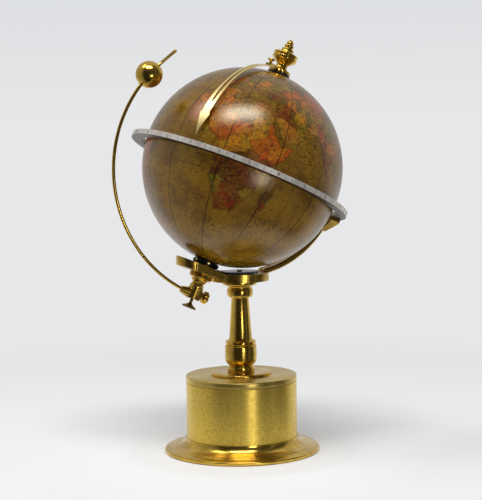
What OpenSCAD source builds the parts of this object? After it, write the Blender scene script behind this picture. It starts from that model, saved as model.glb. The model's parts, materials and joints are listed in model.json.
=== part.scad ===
// Clockwork terrestrial globe on a brass drum: the movement in the drum turns the globe once a day
// Millimetres, +Z up, origin at the centre of the foot's underside, on the column's axis

/* [Globe] */
// Diameter of the papered globe
globe_d = 126; // [122:0.5:130]
// Wall of the moulded hemispheres
globe_wall = 2.2; // [1.6:0.1:3]
// Tilt of the polar axis from upright, degrees
polar_tilt = 24; // [23.4:0.1:24.4]
// Compass turn of the polar axis about the column, degrees
polar_turn = 24; // [0:1:60]
// Distance up the polar axis from the column's axis to the globe's centre
globe_lift = 7.7; // [7:0.1:8.4]
// Clear gap between the globe's lowest point and the bracket's pan
globe_gap = 2.8; // [2.6:0.1:3.2]

/* [Hour ring] */
// Clear gap between the globe and the bore of the hour ring
ring_gap = 2; // [1.5:0.1:3]
// Width of the flat ring, bore to rim
ring_w = 6.9; // [6:0.1:9]
// Thickness of the hour ring
ring_t = 3.3; // [2.4:0.1:4]
// Drop of the ring's top face below the equator
ring_drop = 3.6; // [3:0.1:4.2]

/* [Base] */
// Diameter of the spreading foot
foot_d = 98.4; // [92:0.2:110]
// Height of the foot
foot_h = 9.6; // [9.2:0.1:11]
// Outer diameter of the drum
drum_d = 70.2; // [69.8:0.1:74]
// Wall of the drum
drum_wall = 1.6; // [1.2:0.1:1.8]
// Height of the drum between the foot and its lid
drum_h = 34.8; // [34.6:0.1:38]
// Height of the lid's rim
lid_h = 4.1; // [3.8:0.1:5]
// Width of the ledge inside the foot, round the bore that reaches the winding key
ledge_w = 4.5; // [4:0.1:5.5]

/* [Column] */
// Diameter of the plinth on the lid
plinth_d = 38; // [32:0.5:44]
// Thickness of the plinth
plinth_h = 2; // [1.5:0.1:3]
// Height of the column above the plinth, up to the bracket
column_h = 58; // [57:0.5:64]
// Diameter of the bulb near the column's foot
bulb_d = 20.3; // [18.6:0.1:21]
// Shaft diameter at its lower end
shaft_low_d = 14.4; // [12:0.1:15]
// Shaft diameter at its upper end
shaft_top_d = 11.1; // [9.6:0.1:12]
// Diameter of the cup under the bracket
cup_d = 16.4; // [15.6:0.1:17]

/* [Bracket] */
// Diameter of the round pan on the column
pan_d = 37; // [36:0.1:38]
// Height of the pan
pan_h = 5; // [4.8:0.1:5.4]
// Clear gap along the polar axis between the globe and the bar
bar_gap = 3.7; // [3.5:0.1:4]
// Half width of the bar that carries the polar axis
bar_half = 10.5; // [10:0.1:11]
// Reach of the bar past the polar axis
bar_reach = 19.8; // [19:0.1:20.5]
// Clear gap between the globe and the arm that goes up to the ring
arm_gap = 2.2; // [1.8:0.1:2.6]
// Radial thickness of that arm
arm_t = 3.4; // [3:0.1:4]
// Width of that arm
arm_w = 9; // [7:0.1:11]

/* [Sun arm] */
// Gap between the globe and the curved sun rod's centre line
rod_gap = 21.4; // [20.4:0.1:23]
// Distance of that arc's centre below the globe's centre, on the polar axis
rod_drop = 0.8; // [0:0.1:1.2]
// Diameter of the sun rod
rod_d = 2.1; // [1.8:0.1:2.4]
// Diameter of the sun ball
ball_d = 16.7; // [14:0.1:18]
// Latitude at which the ball stands, degrees
ball_lat = 20.8; // [18:0.1:23.4]
// Azimuth of the rod about the polar axis, degrees
rod_turn = 178; // [170:1:185]

/* [Pointer] */
// Azimuth of the hour pointer about the polar axis, degrees
pointer_turn = 217; // [205:1:225]
// Gap between the globe and the pointer strip
pointer_gap = 2.6; // [2.4:0.1:3.2]
// Thickness of the pointer strip
pointer_t = 0.8; // [0.6:0.1:1]

/* [Wheels] */
// Teeth of the drive wheel on the column's shaft
drive_teeth = 36; // [36:1:36]
// Teeth of the idler in the bar
idler_teeth = 10; // [10:1:10]
// Teeth of the wheel on the polar arbor
polar_teeth = 24; // [24:1:24]
// Face width of those three bevel wheels
bevel_w = 1.5; // [1.2:0.1:1.6]
// Diameter of the vertical drive shaft
shaft_d = 2.8; // [2.4:0.1:3]
// Diameter of the polar arbor
arbor_d = 3; // [2.6:0.1:3.2]

/* [Clearances] */
// Radial clearance of a running fit
run_gap = 0.05; // [0.03:0.01:0.08]
// Radial clearance of a fixed fit
fix_gap = 0.02; // [0.02:0.01:0.04]
// Clearance between pieces that pass each other
pass_gap = 0.3; // [0.2:0.05:0.4]

/* [Hidden] */
$fn = 96;

// Levels up the column's axis
foot_top = foot_h;
drum_top = foot_top + drum_h;
lid_top = drum_top + lid_h;
plinth_top = lid_top + plinth_h;
pan_bottom = plinth_top + column_h;
pan_top = pan_bottom + pan_h;
globe_r = globe_d / 2;
globe_z = pan_top + globe_gap + globe_r;
apex_z = globe_z - globe_lift * cos(polar_tilt);
pan_r = pan_d / 2;

// Base
drum_r = drum_d / 2;
drum_in = drum_r - drum_wall;
foot_bore = 2 * (drum_in - ledge_w);
lid_t = 2.2;
lid_under = lid_top - lid_t;
cover_t = 1.4;
cover_r = drum_in + 0.8;
cover_z = foot_top - cover_t;
ledge_r = (foot_bore / 2 + cover_r) / 2;
screw_seat = 5.4;
tenon_r = 6;
nut_h = 3;
nut_z = lid_under - nut_h - run_gap;

// Bracket and polar axis, measured along the axis from the globe's centre
bar_top = globe_r + bar_gap;
bar_end_t = 5.5;
bar_root = 12.2;
bar_far = 20;
bar_tall = 30;
bar_pan_t = 3.7;
bar_end = (bar_top - globe_lift) * sin(polar_tilt) + bar_reach * cos(polar_tilt);
boss_low = bar_top + 4.9;
bevel_top = bar_top - 0.6;
pocket_floor = bevel_top + bevel_w + pass_gap + 0.1;
pan_floor = pan_top - 2.8;
top_tenon_r = 5;
bearing_spigot_r = 3;
arbor_low = boss_low + 5;
arbor_r = arbor_d / 2;
arbor_top = globe_r + 9;
shaft_r = shaft_d / 2;

// The bevel wheels' cones meet where the polar axis crosses the column's axis
cone_step = polar_tilt / (drive_teeth + 2 * idler_teeth + polar_teeth);
drive_cone = cone_step * drive_teeth;
idler_cone = cone_step * idler_teeth;
polar_cone = cone_step * polar_teeth;
idler_tilt = drive_cone + idler_cone;
cone_len = (bevel_top - globe_lift + bevel_w / 2) / cos(polar_cone);
bevel_module = 2 * cone_len * sin(drive_cone) / drive_teeth;
function bevel_mid(cone) = cone_len * cos(cone);
function bevel_r(teeth) = teeth * bevel_module / 2;
drive_wheel_z = apex_z - bevel_mid(drive_cone) - bevel_w / 2;
recess_r = bevel_r(drive_teeth) + bevel_module + 0.7;
stud_r = 1.2;
stud_low = bevel_mid(idler_cone) + bevel_w / 2 + 1.6;

// Hour ring
ring_in = globe_r + ring_gap;
ring_out = ring_in + ring_w;
ring_low = ring_drop + ring_t;
ring_screw_r = ring_in + 0.56 * ring_w;
ring_shank_r = 0.8;
ring_head_r = 1.5;
ring_head_sink = 0.9;
ring_screw_turn = 9;
lug_h = 9;
lug_half = 16;

// Arm, concentric with the globe
arm_in = globe_r + arm_gap;
arm_from = 10.5;
arm_to = 90 - polar_tilt - asin((ring_low + 3.1) / arm_in);

// North pole
plug_r = 9;
plug_h = 8;
washer_h = 1.3;
washer_r = 7.3;
hub_z = globe_r + 0.02 + washer_h;
hub_h = 3.9;
hub_r = 7.1;
finial_z = hub_z + hub_h;
strip_in = globe_r + pointer_gap;
strip_out = strip_in + pointer_t;
tongue_t = 1.3;
screw_reach = 14;

// South pole
collar_h = bevel_top - globe_r - 0.52;
collar_r = 8.2;

// Sun arm
rod_r = rod_d / 2;
ball_r = ball_d / 2;
rod_low_lat = -88.2;
rod_exit_lat = -75;
rod_high_lat = 28.2;
rod_tail = 12;
block_r = 4.6;
rod_arc_r = globe_r + rod_gap;
rod_low = rod_arc_r + rod_drop;
block_h = 7.45;
block_low = rod_low + 3;
block_top = block_low - block_h;
bearing_low = block_top - run_gap;
bearing_h = bearing_low - boss_low;
thumb_r = 1.2;
knob_r = 3.9;
head_low = block_low + 6;

// Movement, its plan and its levels
mod_barrel = 0.36;
mod_centre = 0.3;
mod_third = 0.26;
mod_motion = 0.4;
barrel_teeth = 80;
centre_leaves = 10;
centre_teeth = 64;
third_leaves = 8;
third_teeth = 60;
escape_leaves = 8;
escape_teeth = 15;
cannon_leaves = 8;
inter_teeth = 36;
inter_leaves = 8;
output_teeth = 64;
function pair(m, a, b) = m * (a + b) / 2;
function polar_xy(r, a) = [r * cos(a), r * sin(a)];
function corner(a, b, c) = acos((a * a + b * b - c * c) / (2 * a * b));
barrel_r = 16.5;
centre_r = 17.5;
inter_r = pair(mod_motion, output_teeth, inter_leaves);
centre_a = 180 - corner(barrel_r, centre_r, pair(mod_barrel, barrel_teeth, centre_leaves));
inter_a = centre_a - corner(centre_r, inter_r, pair(mod_motion, inter_teeth, cannon_leaves));
barrel_xy = [-barrel_r, 0];
centre_xy = polar_xy(centre_r, centre_a);
inter_xy = polar_xy(inter_r, inter_a);
third_xy = centre_xy + polar_xy(pair(mod_centre, centre_teeth, third_leaves), 15);
escape_xy = third_xy + polar_xy(pair(mod_third, third_teeth, escape_leaves), -30);
line_a = -50;
lever_x = 7.2;
balance_x = 13.7;

plate_r = drum_in - 2.5;
plate_t = 1.5;
plate_low = foot_top + 3.4;
plate_gap = 16.5;
plate_top = plate_low + plate_t + plate_gap;
plates_over = plate_top + plate_t;
barrel_z = plate_low + plate_t + 0.7;
barrel_floor = 1.5;
barrel_h = 10;
barrel_body_r = 12.9;
core_r = 2.9;
pivot_r = 1.95;
cover_disc_t = 0.9;
centre_wheel_z = plate_top - 2.6;
third_wheel_z = plate_top - 4.3;
wheel_t = 0.8;
output_z = plates_over + 1;
inter_wheel_z = plates_over + 2.5;
platform_z = plates_over + 4.5;
platform_t = 1;
lever_z = platform_z + 2;
cock_z = platform_z + 7.2;
pillar_angles = [25, 145, 240, 320];
pillar_at = plate_r - 2.5;
pillar_r = 1.8;
pillar_stud_r = 0.7;
post_r = 2.2;
cover_screw_r = 1.2;
spring_w = 0.3;
spiral_step = 15;

// Frames
module toward_pole() translate([0, 0, apex_z]) rotate([0, 0, polar_turn]) children();
module lean() rotate([0, polar_tilt, 0]) translate([0, 0, globe_lift]) children();
module polar() toward_pole() lean() children();
module idler_frame() toward_pole() rotate([0, idler_tilt, 0]) children();
module rod_plane() polar() rotate([0, 0, rod_turn]) translate([0, 0, -rod_drop])
  rotate([90, 0, 0]) children();
module pointer_plane() polar() rotate([0, 0, pointer_turn]) rotate([90, 0, 0]) children();
module at(p) translate([p[0], p[1], 0]) children();
module escape_frame() at(escape_xy) rotate([0, 0, line_a]) children();

// Shapes used by several pieces
module lathe(points) rotate_extrude() polygon(points);

module tube(r_out, r_in, h) difference() {
  cylinder(r = r_out, h = h);
  translate([0, 0, -1]) cylinder(r = r_in, h = h + 2);
}

module hole(r, from, to) translate([0, 0, from]) cylinder(r = r, h = to - from);

function tooth(n, r_root, r_tip, root, tip, i) = [
  for (c = [[r_root, -root], [r_tip, -tip], [r_tip, tip], [r_root, root]])
    polar_xy(c[0], (360 * i + 180 * c[1]) / n)
];

function gear_points(n, m, add = 0.9, root = 0.62, tip = 0.22) = [
  for (i = [0 : n - 1]) each tooth(n, n * m / 2 - 1.25 * m, n * m / 2 + add * m, root, tip, i)
];

module wheel(n, m, h) linear_extrude(h) polygon(gear_points(n, m));

module pinion(n, m, h) linear_extrude(h) polygon(gear_points(n, m, 0.8, 0.5, 0.14));

module bevel(n, add = 0.9, root = 0.62, tip = 0.22) {
  large = (cone_len + bevel_w / 2) / cone_len;
  small = (cone_len - bevel_w / 2) / cone_len;
  linear_extrude(bevel_w, scale = small / large)
    polygon(gear_points(n, bevel_module * large, add, root, tip));
}

module spokes(n, r_in, r_out, w, h) difference() {
  tube(r_out, r_in, h);
  for (i = [0 : n - 1]) rotate([0, 0, i * 360 / n]) translate([r_in - 1, -w / 2, -1])
    cube([r_out - r_in + 2, w, h + 2]);
}

function spiral(r0, r1, turns, side) = [
  for (a = [0 : spiral_step : 360 * turns])
    polar_xy(r0 + (r1 - r0) * a / (360 * turns) + side, a)
];

function reversed(list) = [for (i = [len(list) - 1 : -1 : 0]) list[i]];

module spiral_strip(r0, r1, turns, w, h) linear_extrude(h)
  polygon(concat(spiral(r0, r1, turns, w / 2), reversed(spiral(r0, r1, turns, -w / 2))));

module screw(shank_r, shank_h, head_r, head_h) difference() {
  union() {
    translate([0, 0, -shank_h]) cylinder(r = shank_r, h = shank_h);
    cylinder(r = head_r, h = head_h);
  }
  translate([-head_r - 1, -0.12 * head_r, 0.55 * head_h]) cube([2 * head_r + 2, 0.24 * head_r, head_h]);
}

// Base
flare_r = drum_r + 0.6;
flare_out = foot_d / 2 - 6.6;
flare_low = 4.1;
flare = [
  for (a = [0 : 9 : 90])
    [flare_out - (flare_out - flare_r) * sin(a), foot_h - (foot_h - flare_low) * cos(a)]
];

module base_foot() color("#b8922f") difference() {
  lathe(concat(
    [[foot_bore / 2, 0], [foot_d / 2 - 0.8, 0], [foot_d / 2, 0.8], [foot_d / 2, 1.8],
     [foot_d / 2 - 0.3, 2.3], [foot_d / 2 - 0.9, 2.6], [flare_out + 1.4, 3.2], [flare_out + 0.7, 3.4],
     [flare_out + 0.6, 3.9]],
    flare,
    [[cover_r + run_gap, foot_top], [cover_r + run_gap, cover_z], [foot_bore / 2, cover_z]]));
  ledge_places() {
    hole(cover_screw_r + fix_gap, screw_seat - 1, foot_h);
    hole(1.7 * cover_screw_r, -1, screw_seat);
  }
}

module ledge_places() for (a = [60, 180, 300]) rotate([0, 0, a]) translate([ledge_r, 0, 0]) children();

module cover_screws() color("#8d8f92") ledge_places() translate([0, 0, screw_seat]) rotate([180, 0, 0])
  screw(cover_screw_r, foot_top - 0.2 - screw_seat, 1.55 * cover_screw_r, 1.2);

module bottom_cover() color("#a98a3c") difference() {
  union() {
    hole(cover_r, cover_z, foot_top);
    pillar_places() hole(post_r, cover_z + 0.5, plate_low);
  }
  pillar_places() hole(pillar_stud_r + fix_gap, foot_top, plate_low + 1);
  at(barrel_xy) hole(pivot_r + pass_gap, cover_z - 1, foot_top + 1);
  ledge_places() hole(cover_screw_r + fix_gap, cover_z - 1, foot_top + 1);
}

module drum_case() color("#b3933a") translate([0, 0, foot_top]) tube(drum_r, drum_in, drum_h);

module drum_lid() color("#bb9a42") lathe([
  [tenon_r + fix_gap, lid_under], [drum_in - 2, lid_under], [drum_in - 2, drum_top - 2],
  [drum_in - fix_gap, drum_top - 2], [drum_in - fix_gap, drum_top], [drum_r - 0.4, drum_top],
  [drum_r - 0.4, drum_top + 0.35], [drum_r + 0.1, drum_top + 0.5], [drum_r + 0.1, lid_top - 0.4],
  [drum_r - 0.2, lid_top], [tenon_r + fix_gap, lid_top]
]);

// Column
foot_cyl_r = 8.6;
foot_cyl_h = 3;
neck_r = 7.6;
bulb_h = 12.6;
bead_h = 3;
cup_h = 6.4;
flare_h = 4.1;
bulb_z = plinth_top + foot_cyl_h + 1.5;
bead_z = bulb_z + bulb_h;
shaft_z = bead_z + bead_h;
flare_z = pan_bottom - flare_h;
cup_z = flare_z - cup_h;
bulb_r = bulb_d / 2;
bush_r = 3.4;
bush_h = 5;

module column_plinth() color("#b8922f") lathe([
  [tenon_r + fix_gap, lid_top], [plinth_d / 2, lid_top], [plinth_d / 2, plinth_top - 0.7],
  [plinth_d / 2 - 0.7, plinth_top - 0.1], [plinth_d / 2 - 1.4, plinth_top],
  [tenon_r + fix_gap, plinth_top]
]);

module column() color("#b58f35") difference() {
  lathe([
    [shaft_r + 0.9, nut_z - 0.4], [tenon_r, nut_z - 0.4], [tenon_r, plinth_top],
    [foot_cyl_r, plinth_top], [foot_cyl_r, plinth_top + foot_cyl_h],
    [neck_r, plinth_top + foot_cyl_h + 0.5], [neck_r, bulb_z - 0.6], [bulb_r - 1.4, bulb_z + 0.8],
    [bulb_r - 0.5, bulb_z + 2], [bulb_r, bulb_z + 3.6], [bulb_r, bead_z - 1.2],
    [bulb_r - 0.4, bead_z - 0.3], [bulb_r - 1.1, bead_z], [bulb_r - 0.5, bead_z + 0.5],
    [bulb_r - 0.5, shaft_z - 0.7], [bulb_r - 1.6, shaft_z - 0.1], [shaft_low_d / 2 + 0.4, shaft_z],
    [shaft_low_d / 2, shaft_z + 1.6], [shaft_top_d / 2, cup_z - 0.5], [cup_d / 2 - 0.9, cup_z],
    [cup_d / 2 - 0.4, cup_z + 1.2], [cup_d / 2, cup_z + 3], [cup_d / 2 + 0.8, flare_z - 0.3],
    [cup_d / 2 + 1.7, flare_z + 1.4], [cup_d / 2 + 2.4, pan_bottom - 1.2],
    [cup_d / 2 + 3, pan_bottom], [top_tenon_r, pan_bottom],
    [top_tenon_r, pan_floor - 0.2], [shaft_r + 0.9, pan_floor - 0.2]
  ]);
  hole(bush_r + fix_gap, pan_floor - 0.2 - bush_h, pan_floor + 1);
  bracket_screw_places() hole(screw_hole, pan_bottom - 4, pan_bottom + 1);
}

module upper_bush() color("#c9a24e") translate([0, 0, pan_floor - 0.2 - bush_h])
  tube(bush_r, shaft_r + run_gap, bush_h);

module column_nut() color("#a98a3c") translate([0, 0, nut_z]) difference() {
  cylinder(r = 9.4, h = nut_h, $fn = 6);
  translate([0, 0, -1]) cylinder(r = tenon_r + fix_gap, h = nut_h + 2);
}

// Bracket
screw_at = 7.4;
screw_hole = 0.85;
screw_head_r = 1.5;
module bracket_screw_places() for (a = [90, 210, 330]) rotate([0, 0, polar_turn + a])
  translate([screw_at, 0, 0]) children();

module bar_shape() intersection() {
  lean() rotate([90, 0, 0]) translate([0, 0, -bar_half - 1]) linear_extrude(2 * bar_half + 2) polygon([
    [-bar_reach - 4, -bar_top], [bar_far, -bar_top], [bar_far, -bar_top - bar_pan_t],
    [-bar_reach - 4, -bar_top - bar_end_t]
  ]);
  translate([0, 0, pan_bottom - apex_z]) linear_extrude(bar_tall) {
    translate([bar_half - bar_end, 0]) circle(bar_half);
    translate([bar_half - bar_end, -bar_half]) square([bar_end - bar_half - bar_root, 2 * bar_half]);
  }
}

module arm_shape() translate([globe_lift * sin(polar_tilt), 0, globe_lift * cos(polar_tilt)])
  rotate([90, 0, 0]) rotate([0, 0, arm_from - 90]) rotate_extrude(angle = arm_to - arm_from)
    polygon([
      [arm_in, 0.8 - arm_w / 2], [arm_in + 0.8, -arm_w / 2], [arm_in + arm_t - 0.8, -arm_w / 2],
      [arm_in + arm_t, 0.8 - arm_w / 2], [arm_in + arm_t, arm_w / 2 - 0.8],
      [arm_in + arm_t - 0.8, arm_w / 2], [arm_in + 0.8, arm_w / 2], [arm_in, arm_w / 2 - 0.8]
    ]);

module lug_shape() translate([0, 0, -ring_low - 0.02]) intersection() {
  rotate([0, 0, -20]) rotate_extrude(angle = 40) polygon([
    [ring_in + 0.6, 0], [ring_out - 0.5, 0], [ring_out - 0.5, -2.6], [arm_in + arm_t - 0.2, -lug_h],
    [arm_in - 0.1, -lug_h]
  ]);
  rotate([90, 0, 90]) linear_extrude(ring_out) polygon([
    [-lug_half, 1], [lug_half, 1], [lug_half, -2], [arm_w / 2 - 0.3, 0.2 - lug_h],
    [arm_w / 2 - 0.3, -lug_h - 1], [0.3 - arm_w / 2, -lug_h - 1], [0.3 - arm_w / 2, 0.2 - lug_h],
    [-lug_half, -2]
  ]);
}

module bracket() color("#b8922f") difference() {
  union() {
    hole(pan_r, pan_bottom, pan_top);
    toward_pole() {
      bar_shape();
      arm_shape();
    }
    polar() {
      translate([0, 0, -boss_low]) cylinder(r = 7.4, h = boss_low - bar_top - 2);
      lug_shape();
    }
  }
  hole(recess_r, pan_floor, pan_top + 5);
  hole(top_tenon_r + fix_gap, pan_bottom - 1, pan_top);
  bracket_screw_places() {
    hole(screw_hole, pan_bottom - 1, pan_floor + 1);
    hole(screw_head_r + 0.1, pan_floor - 0.9, pan_floor + 1);
  }
  polar() {
    hole(bevel_r(polar_teeth) + bevel_module + 0.6, -pocket_floor, -bar_top + 2);
    hole(bearing_spigot_r + fix_gap, -boss_low - 1, -pocket_floor + 1);
    ring_screw_places() hole(ring_shank_r + fix_gap, -ring_low - 4, -ring_low + 1);
  }
  idler_frame() {
    hole(bevel_r(idler_teeth) + bevel_module + 0.6,
      -bevel_mid(idler_cone) - bevel_w / 2 - 0.4, -bevel_mid(idler_cone) + 5);
    hole(stud_r + fix_gap, -stud_low - 0.1, -bevel_mid(idler_cone));
  }
}

module bracket_screws() color("#a08040") bracket_screw_places() translate([0, 0, pan_floor - 0.9])
  screw(screw_hole - fix_gap, 4, screw_head_r, 0.85);

module idler_stud() color("#8d8f92") idler_frame() {
  hole(stud_r, -stud_low, -bevel_mid(idler_cone) + bevel_w / 2 + 0.1);
  hole(stud_r + 0.7,
    -bevel_mid(idler_cone) + bevel_w / 2 + 0.1, -bevel_mid(idler_cone) + bevel_w / 2 + 0.5);
}

module idler_wheel() color("#9c7a35") idler_frame() difference() {
  translate([0, 0, -bevel_mid(idler_cone) - bevel_w / 2]) rotate([0, 0, 180 / idler_teeth])
    bevel(idler_teeth, 0.8, 0.5, 0.14);
  hole(stud_r + run_gap, -bevel_mid(idler_cone) - bevel_w, -bevel_mid(idler_cone) + bevel_w);
}

module drive_wheel() color("#9aa0a4") rotate([0, 0, polar_turn]) difference() {
  translate([0, 0, drive_wheel_z]) bevel(drive_teeth);
  hole(shaft_r + fix_gap, drive_wheel_z - 1, drive_wheel_z + bevel_w + 1);
}

module drive_wheel_screw() color("#3b3c3e") translate([0, 0, drive_wheel_z + bevel_w])
  screw(0.6, 3, 1.7, 0.6);

module drive_shaft() color("#a7abae") difference() {
  union() {
    hole(shaft_r, plate_top + 0.1, drive_wheel_z + bevel_w);
    hole(shaft_r + 1.6, output_z + wheel_t + 0.5, output_z + wheel_t + 2);
  }
  hole(0.6 + fix_gap, drive_wheel_z + bevel_w - 3.1, drive_wheel_z + bevel_w + 1);
}

module polar_wheel() color("#4a4034") polar() difference() {
  union() {
    translate([0, 0, -bevel_top - bevel_w]) bevel(polar_teeth);
    hole(5.4, -bevel_top, -globe_r - 0.02 - collar_h);
  }
  hole(arbor_r + fix_gap, -bevel_top - bevel_w - 1, -globe_r);
}

module polar_arbor() color("#a7abae") polar() hole(arbor_r, -arbor_low, arbor_top);

// Globe
module globe_half() difference() {
  sphere(globe_r);
  sphere(globe_r - globe_wall);
  translate([0, 0, -globe_r - 1]) cylinder(r = globe_r + 1, h = globe_r + 1);
  hole(arbor_r + fix_gap, 0, globe_r + 1);
}

module globe_north() color("#9a6a2c") polar() globe_half();

module globe_south() color("#8d6a2e") polar() mirror([0, 0, 1]) globe_half();

module equator_hoop() color("#b49468") polar() translate([0, 0, -5]) difference() {
  cylinder(r = globe_r - globe_wall - 0.35, h = 10);
  translate([0, 0, -1]) cylinder(r = globe_r - globe_wall - 2.4, h = 12);
}

module pole_plug() difference() {
  intersection() {
    hole(plug_r, globe_r - globe_wall - plug_h, globe_r);
    sphere(globe_r - globe_wall - run_gap);
  }
  hole(arbor_r + fix_gap, 0, globe_r);
}

module pole_plugs() color("#8a6a44") polar() {
  pole_plug();
  mirror([0, 0, 1]) pole_plug();
}

module south_collar() color("#2c2620") polar() difference() {
  translate([0, 0, -globe_r - 0.02 - collar_h]) lathe([
    [arbor_r + fix_gap, 0], [collar_r - 0.3, 0], [collar_r, 0.3], [collar_r, collar_h - 0.3],
    [collar_r - 0.3, collar_h], [arbor_r + fix_gap, collar_h]
  ]);
  collar_screw_places() cylinder(r = 0.4 + fix_gap, h = 3);
}

module collar_screw_places() for (a = [20 : 60 : 320]) rotate([0, 0, a])
  translate([collar_r - 1.6, 0, -globe_r - collar_h / 2]) rotate([0, 90, 0]) children();

module collar_screws() color("#d8c48a") polar() collar_screw_places() {
  cylinder(r = 0.4, h = 1.7);
  translate([0, 0, 1.65]) cylinder(r = 0.6, h = 0.45);
}

module north_washer() color("#1f1c19") polar() translate([0, 0, globe_r + 0.02])
  tube(washer_r, arbor_r + fix_gap, washer_h);

// Pointer and finial
module pointer_hub() color("#b8922f") {
  polar() lathe([
    [arbor_r + fix_gap, hub_z], [hub_r - 0.5, hub_z], [hub_r, hub_z + 0.6], [hub_r, hub_z + 1.9],
    [hub_r - 0.7, hub_z + 2.6], [hub_r - 1.9, hub_z + 2.9], [hub_r - 2.5, hub_z + 3.5],
    [hub_r - 2.8, finial_z], [arbor_r + fix_gap, finial_z]
  ]);
  pointer_plane() difference() {
    tongue();
    pointer_screw_place() cylinder(r = 0.9 + fix_gap, h = 8, center = true);
  }
}

tongue_from = asin((screw_reach + 2.2) / strip_out);
tongue_to = asin(5 / strip_out);
module tongue() rotate([0, 0, 90 - tongue_from]) rotate_extrude(angle = tongue_from - tongue_to)
  translate([strip_out + fix_gap, -2]) square([tongue_t, 4]);

module pointer_screw_place() rotate([0, 0, 90 - asin(screw_reach / strip_out)])
  translate([strip_out, 0, 0]) rotate([0, 90, 0]) children();

// Latitude and half width along one edge of the pointer, and of its slot
pointer_edge = [
  [1.2, 0.05], [8, 1.9], [13, 3.3], [14.5, 2.3], [17, 2.6], [30, 2.4], [50, 1.8], [78, 1.4], [84, 1.4]
];
slot_edge = [[20, 0.1], [22, 0.7], [34, 0.9], [46, 0.5], [64, 0.25], [66, 0.05]];
pointer_mid_lat = 32;
function edge_points(edge, side) = [
  for (p = edge) [(strip_out) * sin(p[0] - pointer_mid_lat), side * p[1]]
];
module radial_prism(edge) rotate([0, 0, pointer_mid_lat]) rotate([90, 0, 90])
  linear_extrude(strip_out + 2) polygon(concat(edge_points(edge, 1), reversed(edge_points(edge, -1))));

module hour_pointer() color("#c39a38") pointer_plane() difference() {
  intersection() {
    rotate_extrude(angle = 90 - asin(7.6 / strip_in)) translate([strip_in, -5]) square([pointer_t, 10]);
    radial_prism(pointer_edge);
  }
  radial_prism(slot_edge);
  pointer_screw_place() cylinder(r = 0.9 + fix_gap, h = 8, center = true);
}

module pointer_screw() color("#b8922f") pointer_plane() pointer_screw_place() lathe([
  [0, -pointer_t], [0.9, -pointer_t], [0.9, tongue_t + 0.05], [1.3, tongue_t + 0.05],
  [1, tongue_t + 0.9], [1.1, tongue_t + 1.6], [2.5, tongue_t + 2.2], [2.5, tongue_t + 2.7],
  [1.4, tongue_t + 3.3], [0, tongue_t + 3.4]
]);

finial_profile = [
  [3.8, 0], [3.6, 1.6], [3.8, 2.4], [5.5, 3.8], [7.4, 5.5], [7.9, 6.2], [7.9, 7.2], [7.4, 7.5],
  [7.4, 8.1], [7.9, 8.4], [7.9, 9.4], [6.5, 10.1], [4.2, 10.8], [4, 11.4], [4, 12.8], [2.6, 13.2],
  [2.3, 13.8], [2.9, 14.4], [2.9, 15.4], [1.9, 16], [2.3, 16.6], [2, 17.4], [0.9, 18.8], [0.3, 19.4]
];
module finial() color("#bf9a3a") polar() difference() {
  translate([0, 0, finial_z]) lathe(concat([[0, 0]], finial_profile, [[0, 19.5]]));
  hole(arbor_r + fix_gap, finial_z - 1, arbor_top + 0.3);
}

// Hour ring
module hour_ring() color("#b9bcbc") polar() difference() {
  hole(ring_out, -ring_low, -ring_drop);
  hole(ring_in, -ring_low - 1, 1);
  ring_screw_places() {
    hole(ring_shank_r + fix_gap, -ring_low - 1, -ring_drop);
    hole(ring_head_r + 0.1, -ring_drop - ring_head_sink, -ring_drop + 1);
  }
}

module ring_screw_places() for (a = [-ring_screw_turn, ring_screw_turn]) rotate([0, 0, a])
  translate([ring_screw_r, 0, 0]) children();

module ring_screws() color("#8d8f92") polar() ring_screw_places() translate([0, 0, -ring_drop - ring_head_sink])
  screw(ring_shank_r, ring_t + 2, ring_head_r, ring_head_sink - 0.05);

// Sun arm
// Radius of each step of the bearing, and its place along the bearing's length
bearing_steps = [
  [7.2, 0], [7.2, 0.286], [6.6, 0.352], [5.4, 0.396], [4.8, 0.484], [4.6, 0.571],
  [3.7, 0.637], [3.7, 0.769], [4.4, 0.824]
];
module arm_bearing() color("#b8922f") polar() difference() {
  rotate([180, 0, 0]) lathe(concat(
    [[0, pocket_floor], [bearing_spigot_r, pocket_floor], [bearing_spigot_r, boss_low]],
    [for (p = bearing_steps) [p[0], boss_low + p[1] * bearing_h]],
    [[4.4, bearing_low], [0, bearing_low]]));
  hole(arbor_r + run_gap, -arbor_low - 0.1, -pocket_floor + 1);
  hole(thumb_r + run_gap, -bearing_low - 1, -arbor_low - 1.2);
}

module arm_block() color("#b08733") polar() rotate([0, 0, rod_turn]) difference() {
  union() {
    hole(block_r, -block_low, -block_top);
    translate([block_r - 1.4, 0, -rod_low + 0.2]) rotate([0, 90, 0]) cylinder(r1 = 3.5, r2 = 2, h = 6);
    translate([-block_r - 0.8, 0, -rod_low + 0.6]) rotate([0, 90, 0]) cylinder(r = 2.6, h = 2);
  }
  hole(thumb_r + run_gap, -block_low - 1, -block_top + 1);
  translate([0, 0, -rod_drop]) rotate([90, 0, 0]) rod_arc(rod_r + fix_gap, rod_low_lat - 0.1, rod_exit_lat);
  translate([-block_r - 2, 0, -rod_low + 0.6]) rotate([0, 90, 0])
    cylinder(r = 0.9 + run_gap, h = block_r + 0.4);
}

module arm_knob() color("#b8922f") polar() rotate([0, 0, rod_turn])
  translate([-block_r - 0.85, 0, -rod_low + 0.6]) rotate([0, -90, 0]) {
    translate([0, 0, -2.9]) cylinder(r = 0.9, h = 3.5);
    cylinder(r = 2.2, h = 0.8);
    translate([0, 0, 0.8]) linear_extrude(2.9) union() {
      circle(knob_r - 0.9);
      for (a = [0 : 60 : 300]) rotate([0, 0, a]) translate([knob_r - 1.2, 0]) circle(1.2, $fn = 32);
    }
    translate([0, 0, 3.7]) cylinder(r1 = 2.2, r2 = 1.4, h = 0.8);
  }

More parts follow.
